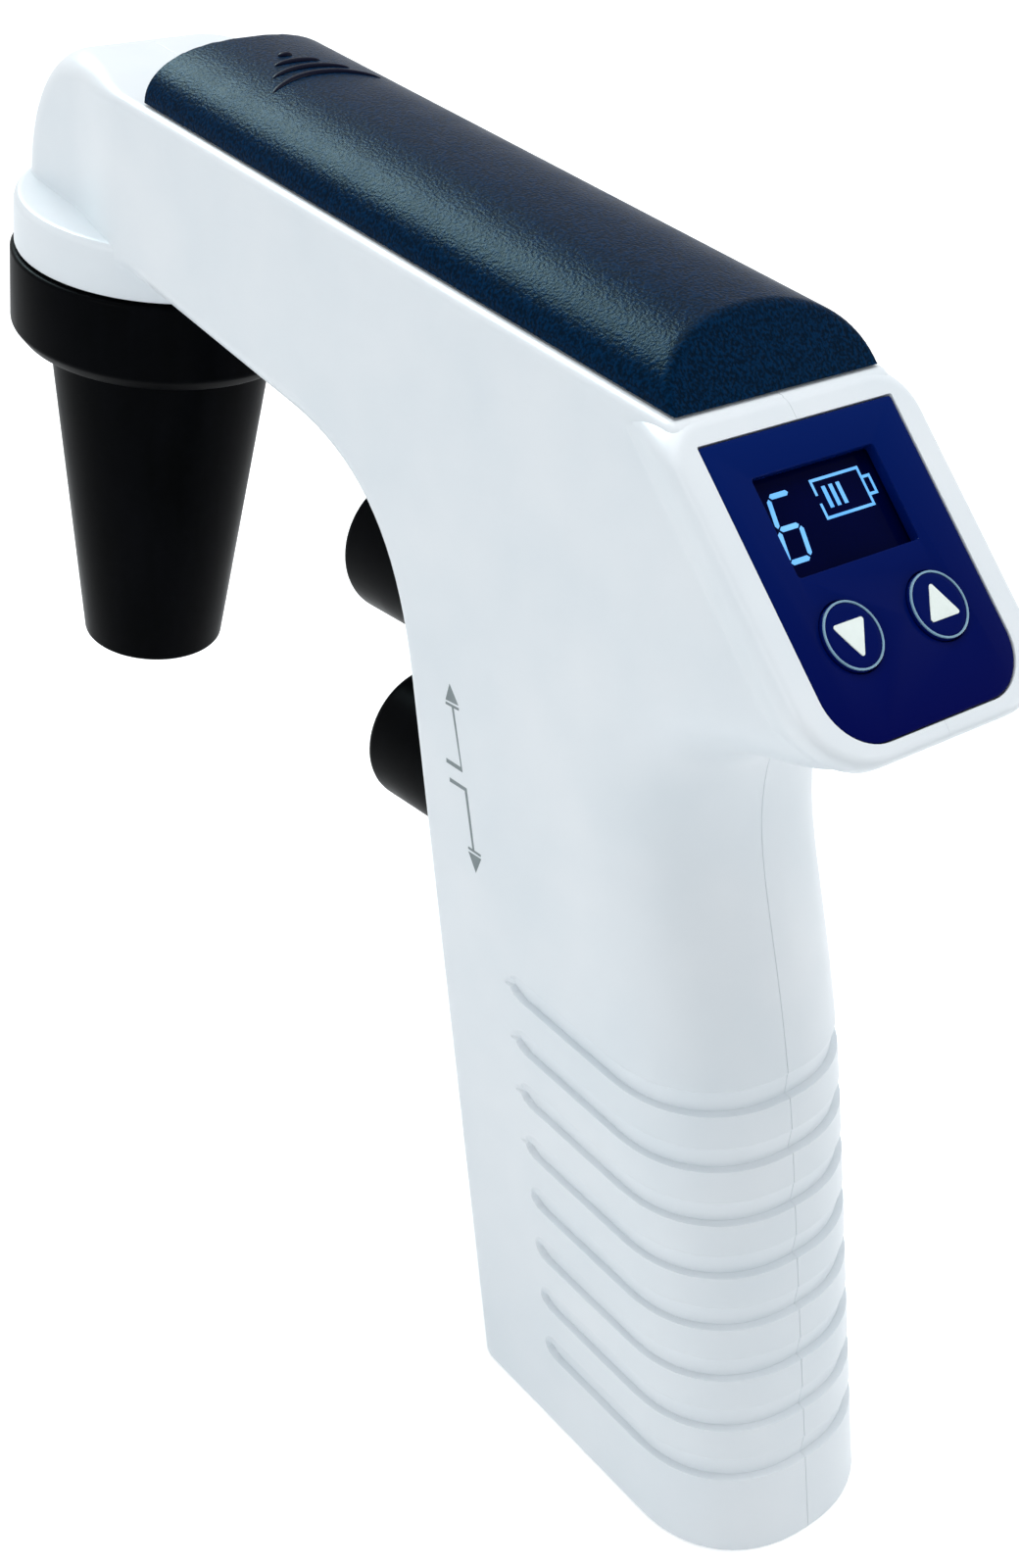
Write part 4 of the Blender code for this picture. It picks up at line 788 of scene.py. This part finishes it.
nosepiece = {
    "coneTop": 16.85, "coneTip": 10.87, "coneBottomZ": 52.7, "coneWall": 1.9, "collarRadius": 22.4,
    "collarLow": 104.5, "collarTop": 117.7, "collarLip": 1.9, "fit": 0.3, "spigot": 17.8, "spigotLength": 8.7,
    "holderLow": 56.0, "holderTop": 92.0, "holderMouth": 4.2, "holderNeck": 2.9, "holderRibs": 3,
}


def makeNosepiece():
    n = nosepiece
    taper = (n["coneTop"] - n["coneTip"]) / (n["collarLow"] - n["coneBottomZ"])
    fit = n["fit"]

    def inside(z):
        return n["coneTip"] + (z - n["coneBottomZ"]) * taper - n["coneWall"]

    low, top = n["collarLow"], n["collarTop"]
    lip = n["coneTop"] + fit
    shelf = low + n["collarLip"]
    outer = n["collarRadius"]
    bore = n["spigot"] + fit
    collar = [(lip, low, 0.2), (outer - 1.5, low, 0.8), (outer, low + 1.9, 1.2), (outer, top, 0.6),
              (bore, top, 0.2), (bore, shelf, 0), (lip, shelf, 0)]
    wearTurned("collarRing", collar, onNose, 144, blackAbs, "collar", ["nose_collar"])
    bottom = n["coneBottomZ"]
    flangeLow = shelf + fit
    flange = n["spigot"] - 0.2
    cone = [(inside(bottom), bottom, 0.3), (n["coneTip"], bottom, 0.7), (n["coneTop"], low, 0),
            (n["coneTop"], flangeLow, 0), (flange, flangeLow, 0), (flange, flangeLow + 2, 0.3),
            (inside(low), flangeLow + 2, 0.3), (inside(low), low, 0)]
    wearTurned("coneShell", cone, onNose, 144, blackAbs, "nosepiece", ["nose_cone"])
    foot, head = n["holderLow"], n["holderTop"]
    mouth = n["holderMouth"]
    neck = head - 8.0
    holder = [(5.6, foot, 0.8), (inside(foot) - fit, foot, 0.5), (inside(head) - fit, head, 0.5),
              (n["holderNeck"], head, 0.3), (n["holderNeck"], neck, 0.3), (mouth, neck - 1.5, 0.3)]
    for i in range(n["holderRibs"]):
        z = neck - 5.0 - i * 4.0
        holder += [(mouth, z + 1.0, 0.2), (3.7, z + 0.3, 0.2), (3.7, z - 0.3, 0.2), (mouth, z - 1.0, 0.2)]
    holder.append((mouth, foot + 5.0, 0.5))
    wearTurned("pipetteGrip", holder, onNose, 72, silicone, "nosepiece", ["pipette_holder"])
    start = top - n["spigotLength"]
    disc = shell["flangeTop"] + fit
    stem = shell["neckBore"] - fit
    socket = [(mouth, start, 0.3), (n["spigot"], start, 0.5), (n["spigot"], top, 0.2), (stem, top, 0),
              (stem, disc, 0), (12.0, disc, 0.2), (12.0, disc + 2.2, 0.4), (2.5, disc + 2.2, 0),
              (2.5, disc + 8.2, 0.3), (1.5, disc + 8.2, 0.3), (1.5, start + 5, 0), (mouth, start + 5, 0)]
    wearTurned("threadedSocket", socket, onNose, 96, blackAbs, "body", ["neck_socket"])


def makeTriggers():
    t = triggers
    r = t["radius"]
    end = t["length"]
    for name, front in t["fronts"].items():
        profile = [(0, 0, 0), (r, 0, t["edge"]), (r, end - 1.5, 0), (r + 1.2, end - 1.5, 0.2),
                   (r + 1.2, end, 0.2), (r - 1.8, end, 0), (r - 1.8, 2.4, 0), (3.0, 2.4, 0),
                   (3.0, end + 9.3, 0.4), (0, end + 9.3, 0)]
        wearTurned(name + "Button", profile, triggerPlace(front), 96, blackAbs, name,
                   [name + "_trigger"], 6)


makeNosepiece()
makeTriggers()
print("turned pieces made")


# battery cover

cover = {
    "frontX": -122.0, "rearX": -17.6, "half": 15.7, "rise": 7.4, "wall": 1.6, "facetRun": 6.9, "low": 147.3,
    "ribCount": 4, "ribStart": 9.1, "ribPitch": 2.5, "ribHalf": 1.1, "ribGrowth": 2.5, "ribBow": 0.03,
    "ribRadius": 0.45, "ribTaper": 0.4,
}


def softMin(a, b, soft):
    t = max(soft - abs(a - b), 0.0) / soft
    return min(a, b) - t * t * soft * 0.25


def coverGrid(wall):
    # rows along the body and across it; both ends fall away, the rear one as a flat slope
    c = cover
    half = c["half"] - wall
    rise = c["rise"] - wall
    start, end = c["frontX"] + wall, c["rearX"] - wall * 1.4
    slope = c["rise"] / c["facetRun"]
    stations = [start + d for d in (0.0, 0.06, 0.2, 0.4, 0.7, 1.1, 1.6, 2.4, 3.6, 5.5)]
    stations += [start + 8 + (end - 12 - start - 8) * i / 30 for i in range(31)]
    stations += [end - 11.5 + 11.5 * i / 36 for i in range(1, 37)]
    rows = []
    for x in stations:
        row = []
        for k in range(49):
            angle = math.pi * k / 48
            co, si = math.cos(angle), max(math.sin(angle), 0.0)
            y = math.copysign(abs(co) ** (2 / shell["rollPower"]), co) * half
            z = si ** (2 / shell["rollPower"]) * rise
            z = softMin(z, (end - x) * slope, 0.9) if z > 0 else 0.0
            edge = 1.0 - (1.0 - min((x - start) / 0.9, 1.0)) ** 2
            z = min(z, rise * 0.72 + rise * 0.28 * math.sqrt(max(edge, 0.0))) if not wall else z
            row.append((x, y, c["low"] + max(z, 0.0)))
        rows.append(row)
    return rows


def makeCover():
    c = cover
    outer = coverGrid(0.0)
    inner = coverGrid(c["wall"])
    width = len(outer[0])
    points = [p for row in outer for p in row]
    base = len(points)
    points += [p for row in inner for p in row]
    faces = gridFaces(len(outer), width) + [tuple(range(width))]
    faces += gridFaces(len(inner), width, base) + [tuple(base + i for i in range(width))]

    def border(first, rows):
        loop = [first + r * width for r in range(rows)]
        loop += [first + (rows - 1) * width + i for i in range(1, width)]
        loop += [first + r * width + width - 1 for r in reversed(range(rows - 1))]
        return loop

    outside = border(0, len(outer))
    inside = border(base, len(inner))
    for i in range(len(outside) - 1):
        faces.append((outside[i], outside[i + 1], inside[i + 1], inside[i]))
    faces.append((outside[-1], outside[0], inside[0], inside[-1]))
    item = newPiece("coverShell", points, faces)
    wear(item, sparkedAbs, "cover", ["battery_cover"], 40)


# the thumb ribs: a row of bowed bars that grow and lie down on the cover's crown
ribSizes = {
    "Count": cover["ribCount"], "Start": (cover["frontX"] + cover["ribStart"] - originX) * mm,
    "Pitch": cover["ribPitch"] * mm, "First Half": cover["ribHalf"] * mm, "Growth": cover["ribGrowth"] * mm,
    "Bow": cover["ribBow"] / mm, "Crown Half": cover["half"] * mm, "Crown Rise": cover["rise"] * mm,
    "Base Height": cover["low"] * mm, "Thickness": cover["ribRadius"] * mm, "Taper": cover["ribTaper"],
}
ribTree, given = newTree("thumbRibs", ribSizes)
here = addNode(ribTree, "GeometryNodeInputPosition").outputs[0]
here = addNode(ribTree, "ShaderNodeSeparateXYZ", {0: here}).outputs
known = {name: given[name] for name in ribSizes}
known["order"] = addNode(ribTree, "GeometryNodeInputIndex").outputs[0]
known["along"] = addNode(ribTree, "GeometryNodeSplineParameter").outputs["Factor"]
known["x"], known["across"] = here[0], here[1]
for name, operation, *values in (
        ("startX", "MULTIPLY_ADD", "order", "Pitch", "Start"),
        ("halfLength", "MULTIPLY_ADD", "order", "Growth", "First Half"),
        ("square", "MULTIPLY", "across", "across"), ("bow", "MULTIPLY", "square", "Bow"),
        ("bowedX", "ADD", "x", "bow"), ("part", "DIVIDE", "across", "Crown Half"),
        ("share", "ABSOLUTE", "part"), ("fall", "POWER", "share", shell["rollPower"]),
        ("left", "SUBTRACT", 1.0, "fall"), ("crown", "POWER", "left", 1 / shell["rollPower"]),
        ("height", "MULTIPLY_ADD", "crown", "Crown Rise", "Base Height"),
        ("rest", "SUBTRACT", 1.0, "along"), ("hump", "MULTIPLY", "along", "rest"),
        ("fullHump", "MULTIPLY", "hump", 4.0), ("tapered", "POWER", "fullHump", "Taper"),
        ("slim", "MAXIMUM", "tapered", 0.12)):
    inputs = {i: known.get(value, value) for i, value in enumerate(values)}
    known[name] = addNode(ribTree, "ShaderNodeMath", {"operation": operation, **inputs}).outputs[0]
row = addNode(ribTree, "GeometryNodeMeshLine", {"Count": given["Count"]}).outputs[0]
spot = addNode(ribTree, "ShaderNodeCombineXYZ", {0: known["startX"]}).outputs[0]
rowPlaced = addNode(ribTree, "GeometryNodeSetPosition", {"Geometry": row, "Position": spot}).outputs[0]
size = addNode(ribTree, "ShaderNodeCombineXYZ", {0: 1.0, 1: known["halfLength"], 2: 1.0}).outputs[0]
stick = addNode(ribTree, "GeometryNodeCurvePrimitiveLine", {"Start": (0, -1, 0), "End": (0, 1, 0)}).outputs[0]
fine = addNode(ribTree, "GeometryNodeResampleCurve", {"Count": 25, "Curve": stick}).outputs[0]
placed = addNode(ribTree, "GeometryNodeInstanceOnPoints", {
    "Points": rowPlaced, "Instance": fine, "Scale": size})
loose = addNode(ribTree, "GeometryNodeRealizeInstances", {"Geometry": placed.outputs[0]}).outputs[0]
draped = addNode(ribTree, "ShaderNodeCombineXYZ", {
    0: known["bowedX"], 1: known["across"], 2: known["height"]}).outputs[0]
lying = addNode(ribTree, "GeometryNodeSetPosition", {"Geometry": loose, "Position": draped}).outputs[0]
bead = addNode(ribTree, "GeometryNodeCurvePrimitiveCircle", {
    "Resolution": 12, "Radius": given["Thickness"]}).outputs[0]
ribs = addNode(ribTree, "GeometryNodeCurveToMesh", {
    "Fill Caps": True, "Curve": lying, "Profile Curve": bead, "Scale": known["slim"]})
endTree(ribTree, given, ribs.outputs[0])


def makeThumbRibs():
    seed = bpy.data.meshes.new("thumbRibs")
    item = grow("thumbRibs", seed, ribTree, {**ribSizes, "Finish": smoothNavy})
    wear(item, smoothNavy, "cover", (), 50)


makeCover()
makeThumbRibs()
print("battery cover made")


# display

def plate(name, outlines, place, near, far, edge):
    # a flat plate with holes and a small bevel, from a filled curve: the first outline is the outside
    data = bpy.data.curves.new(name, "CURVE")
    data.dimensions = "2D"
    data.fill_mode = "BOTH"
    data.extrude = (far - near) / 2 - edge
    data.bevel_depth = edge
    data.bevel_resolution = 2
    data.offset = -edge
    for outline in outlines:
        spline = data.splines.new("POLY")
        spline.points.add(len(outline) - 1)
        for point, (a, b) in zip(spline.points, outline):
            point.co = (a, b, 0, 1)
        spline.use_cyclic_u = True
    seed = bpy.data.objects.new(name, data)
    scene.collection.objects.link(seed)
    bpy.context.view_layer.update()
    mesh = bpy.data.meshes.new_from_object(seed.evaluated_get(bpy.context.evaluated_depsgraph_get()))
    points = [place(v.co.x, v.co.y, (near + far) / 2 + v.co.z) for v in mesh.vertices]
    faces = [tuple(p.vertices) for p in mesh.polygons]
    bpy.data.objects.remove(seed, do_unlink=True)
    return newPiece(name, points, faces)


def makeDisplay():
    d = display
    half = d["halfWidth"]
    soft = d["windowCorner"]
    outside = softened([(0, -half, soft), (d["length"], -half, d["corner"]), (d["length"], half, d["corner"]),
                        (0, half, soft)], 14)
    low, high = d["window"]
    window = softened([(low[0], low[1], soft), (high[0], low[1], soft), (high[0], high[1], soft),
                       (low[0], high[1], soft)], 3)
    holes = [ring(d["keyRadius"] + d["keyGap"], (d["keyDown"], side * d["keyAcross"])) for side in (-1, 1)]
    face = plate("fasciaPlate", [outside, window] + holes, onFace, 0.1, d["thick"], 0.12)
    wear(face, navyFace, "body", ["display_fascia"], 35)
    proud = -d["keyProud"]
    r = d["keyRadius"]
    cap = [(0, proud + 0.12, 0), (r - 0.9, proud, 1.5), (r, proud + 0.1, 0.25), (r, 1.8, 0),
           (r + 1.0, 1.8, 0), (r + 1.0, 2.4, 0.1), (1.6, 2.4, 0), (1.6, 2.9, 0.1), (0, 2.9, 0)]
    top, bottom = proud - 0.06, proud + 0.22
    band = [(r - 0.34, top, 0.05), (r - 0.1, top, 0.05), (r - 0.1, bottom, 0.0), (r - 0.34, bottom, 0.0)]
    for name, side in (("down", -1), ("up", 1)):
        def place(a, b, depth):
            return onFace(d["keyDown"] + a, side * d["keyAcross"] + b, depth)
        body = "key_" + name
        wearTurned(name + "KeyCap", cap, place, 72, navyFace, body, [name + "_key"])
        # a pale band round the key: the real rim, with the highlight on its raised edge painted into its
        # colour
        wearTurned(name + "KeyRim", band, place, 72, keyRimWithPaintedHighlight, body, (), 2)
        reach, wide = d["keyTriangle"]
        tip = -side * reach
        mark = softened([(tip, 0, 0.3), (-tip * 0.6, wide, 0.3), (-tip * 0.6, -wide, 0.3)], 4)
        triangle = plate(name + "KeyMark", [mark], place, proud - 0.05, proud + 0.25, 0.02)
        wear(triangle, keyMark, body)


signs = {
    "depth": 1.76, "thick": 0.02, "rows": (6.85, 10.62, 14.42), "sides": (-7.35, -4.1), "lean": 0.165,
    "gap": 0.19, "barWidth": 0.62, "line": 0.35, "case": ((6.45, -0.6), (10.95, 6.75)), "notch": 1.6,
    "pole": (7.65, 9.75), "poleReach": 1.2, "level": (7.35, 9.95), "levelStart": 0.8, "levelPitch": 1.12,
    "levelHalf": 0.28, "levelCount": 3,
}


def makeLitDisplay():
    # an italic seven-bar 6 and a battery sign, a hair above the lens
    g = signs
    top, middle, bottom = g["rows"]
    left, right = g["sides"]
    shapes = []
    for ends in (((top, left), (top, right)), ((top, left), (middle, left)),
                 ((middle, left), (middle, right)), ((middle, left), (bottom, left)),
                 ((middle, right), (bottom, right)), ((bottom, left), (bottom, right))):
        a, b = [Vector((down, across - (down - top) * g["lean"])) for down, across in ends]
        on = (b - a).normalized()
        a = a + on * g["gap"]
        b = b - on * g["gap"]
        half = on * g["barWidth"] / 2
        out = Vector((-half.y, half.x))
        shapes.append([a, a + half + out, b - half + out, b, b - half - out, a + half - out])
    (high, start), (low, end) = g["case"]
    near, far = g["pole"]
    thin, notch, reach = g["line"], g["notch"], end + g["poleReach"]
    for a, b in (((high, start), (high, end)), ((low, start), (low, end)),
                 ((high + thin, end), (low - thin, end)),
                 ((high + thin, start), (high + notch, start)), ((low - notch, start), (low - thin, start)),
                 ((near, end + thin), (near, reach)), ((far, end + thin), (far, reach)),
                 ((near + thin, reach), (far - thin, reach))):
        a, b = Vector(a), Vector(b)
        half = (b - a).normalized() * (thin / 2 - 0.004)  # the lines stay apart
        out = Vector((-half.y, half.x))
        shapes.append([a - half + out, b + half + out, b + half - out, a - half - out])
    for k in range(g["levelCount"]):
        across = g["levelStart"] + k * g["levelPitch"]
        before, after = across - g["levelHalf"], across + g["levelHalf"]
        first, last = g["level"]
        shapes.append([(first, before), (last, before), (last, after), (first, after)])
    item = prisms("litSegments", shapes, onFace, g["depth"], g["depth"] + g["thick"])
    wear(item, litBlue, "body")


makeDisplay()
makeLitDisplay()
print("display made")


# arrows printed on the left side

arrows = {
    "ink": 0.03,
    "marks": [
        [(-46.9, 98.5), (-47.3, 96.0), (-44.8, 96.45)],
        [(-47.25, 95.75), (-47.2, 95.4), (-44.6, 95.8), (-44.65, 96.15)],
        [(-46.0, 95.6), (-45.62, 95.66), (-42.55, 87.75), (-42.98, 88.3)],
        [(-45.9, 88.0), (-45.78, 87.45), (-42.55, 87.75), (-42.98, 88.3)],
        [(-44.85, 85.65), (-44.72, 85.1), (-41.72, 85.45), (-41.42, 85.98)],
        [(-41.72, 85.45), (-41.42, 85.98), (-38.55, 78.1), (-38.92, 78.05)],
        [(-39.82, 78.02), (-39.75, 77.7), (-37.25, 77.95), (-37.3, 78.28)],
        [(-39.65, 77.35), (-37.1, 77.7), (-37.75, 75.15)],
    ],
}


def makeArrows():
    side = -shell["halfWidth"]
    item = prisms("printedArrows", arrows["marks"], lambda x, z, y: (x, y, z), side - arrows["ink"],
                  side + arrows["ink"])
    wear(item, greyInk, "body")


makeArrows()
print("print made")


# screw heads: one head, set at each spot

def makeScrewHead():
    r = screws["headRadius"]
    top = shell["halfWidth"] - 0.4
    profile = [(0, top, 0), (r, top, 0.7), (r, top - 2.0, 0), (0, top - 2.0, 0)]
    head = turn("screwHead", profile, lambda a, b, h: (a, h, b), nickel, 48)
    for turnBy in (0, 90):
        c, s = math.cos(math.radians(turnBy + 20)), math.sin(math.radians(turnBy + 20))
        carve(head, block((-1.45, -0.28, top - 1.1), (1.45, 0.28, top + 1),
                          lambda a, b, h: (a * c - b * s, h, a * s + b * c)))
    return head


screwTree, given = newTree("screwHeads", {"Head": "NodeSocketObject"})
source = addNode(screwTree, "GeometryNodeObjectInfo", {"Object": given["Head"]})
spots = addNode(screwTree, "GeometryNodeInstanceOnPoints", {
    "Points": given["Geometry"], "Instance": source.outputs["Geometry"]})
endTree(screwTree, given, spots.outputs[0])


def makeScrews():
    head = makeScrewHead()
    seed = bpy.data.meshes.new("screwHeads")
    seed.from_pydata([(x * mm, 0, z * mm) for x, z in screws["spots"]], [], [])
    item = grow("screwHeads", seed, screwTree, {"Head": head, "Finish": nickel})
    bpy.data.objects.remove(head, do_unlink=True)
    wear(item, nickel, "body")


makeScrews()
print("screws made")


# the CAD nodes that stay as they are get their finish

keptNodes = {
    "battery_tray lcd_module down_switch up_switch pump_head charge_socket": blackAbs,
    "contact_plate contact_spring pump_motor": nickel,
    "housing_screw_1 housing_screw_2 housing_screw_3 housing_screw_4": nickel,
    "display_board control_board": circuitGreen,
    "aspirate_valve dispense_valve": acetal,
    "battery_cell": cellSleeve, "lcd_lens": displayGlass, "neck_seal": nitrile,
    "membrane_filter": polypropylene,
}
for names, finish in keptNodes.items():
    for name in names.split():
        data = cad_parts[name].data
        if not data.materials:
            data.materials.append(finish)
        for index in range(len(data.materials)):
            data.materials[index] = finish
print("inner pieces finished")


# camera, floor and light

view = {
    "wide": 1040, "tall": 1600, "focal": 2389.12, "middle": (515.05, 790.25),  # pixels of the image
    "from": (0.207514, -0.180309, 0.25125), "forward": (-0.60497, 0.57012, -0.55585),
    "up": (-0.49092, 0.28254, 0.82411), "sensor": 36.0,
}
stage = {"floorReach": 3000, "floorZ": -0.02, "floorGlow": 0.45, "daylight": 0.5}
# where, how wide, how strong and what colour; the glint lamp only shows in the gloss
lamps = {
    "left": ((0.2, -1.0, 0.45), 0.7, 2.9, (1.0, 1.0, 1.0)),
    "glint": ((-0.88, -0.03, 0.92), 0.7, 36.0, (0.72, 0.96, 1.0)),
    "right": ((0.6, 0.95, 0.2), 0.6, 3.5, (1.0, 1.0, 1.0)),
    "top": ((-0.15, 0.1, 1.0), 0.7, 5.0, (1.0, 1.0, 1.0)),
}


def makeCamera():
    v = view
    data = bpy.data.cameras.new("camera")
    camera = bpy.data.objects.new("camera", data)
    scene.collection.objects.link(camera)
    forward = Vector(v["forward"]).normalized()
    right = forward.cross(Vector(v["up"])).normalized()
    up = right.cross(forward)
    camera.location = v["from"]
    camera.rotation_mode = "QUATERNION"
    camera.rotation_quaternion = Matrix((right, up, -forward)).transposed().to_quaternion()
    data.sensor_fit = "AUTO"
    data.sensor_width = v["sensor"]
    data.lens = v["focal"] / v["tall"] * v["sensor"]
    data.shift_x = (v["wide"] / 2 - v["middle"][0]) / v["tall"]
    data.shift_y = -(v["tall"] / 2 - v["middle"][1]) / v["tall"]
    data.clip_start = 0.01
    data.clip_end = 20
    scene.camera = camera


def seenPlainly(tree):
    # 1 for what the camera, a gloss or a clear piece sees, 0 for what only lights
    rays = addNode(tree, "ShaderNodeLightPath").outputs
    seen = rays["Is Camera Ray"]
    for name in ("Is Glossy Ray", "Is Transmission Ray"):
        seen = addNode(tree, "ShaderNodeMath", {"operation": "MAXIMUM", 0: seen, 1: rays[name]}).outputs[0]
    return seen


def makeStage():
    reach, low = stage["floorReach"], stage["floorZ"]
    floor = newPiece("floor", [(-reach, -reach, low), (reach, -reach, low), (reach, reach, low),
                               (-reach, reach, low)], [(0, 1, 2, 3)])
    material, tree, shader = newMaterial("paleFloor")
    # matt painted board; where it is seen, the unshaded floor adds up to white and keeps the object's shadow
    glow = addNode(tree, "ShaderNodeMath", {
        "operation": "MULTIPLY", 0: seenPlainly(tree), 1: stage["floorGlow"]})
    fill(tree, shader, {
        "Base Color": srgb("#F3F5F6"), "Roughness": between(tree, grain(tree, 40.0), 0.5, 0.6),
        "Specular IOR Level": 0.1, "Emission Color": (1, 1, 1, 1), "Emission Strength": glow.outputs[0]})
    floor.data.materials.append(material)
    world = bpy.data.worlds.new("studio")
    scene.world = world
    world.use_nodes = True
    tree = world.node_tree
    light = fill(tree, tree.nodes["Background"], {
        "Color": (0.93, 0.97, 1.0, 1.0), "Strength": stage["daylight"]})
    white = addNode(tree, "ShaderNodeBackground", {"Color": (1, 1, 1, 1), "Strength": 1.0})
    mix = addNode(tree, "ShaderNodeMixShader", {
        0: seenPlainly(tree), 1: light.outputs[0], 2: white.outputs[0]})
    fill(tree, tree.nodes["World Output"], {"Surface": mix.outputs[0]})


def makeLamps():
    for name, (where, size, power, colour) in lamps.items():
        data = bpy.data.lights.new(name, "AREA")
        data.shape = "DISK"
        data.size = size
        data.energy = power
        data.color = colour
        lamp = bpy.data.objects.new(name, data)
        lamp.location = where
        lamp.rotation_mode = "QUATERNION"
        lamp.rotation_quaternion = (Vector((0, 0, 0.09)) - lamp.location).to_track_quat("-Z", "Y")
        lamp.visible_diffuse = name != "glint"
        scene.collection.objects.link(lamp)


makeCamera()
makeStage()
makeLamps()
scene.view_settings.view_transform = "Standard"
print("camera, floor and light made")
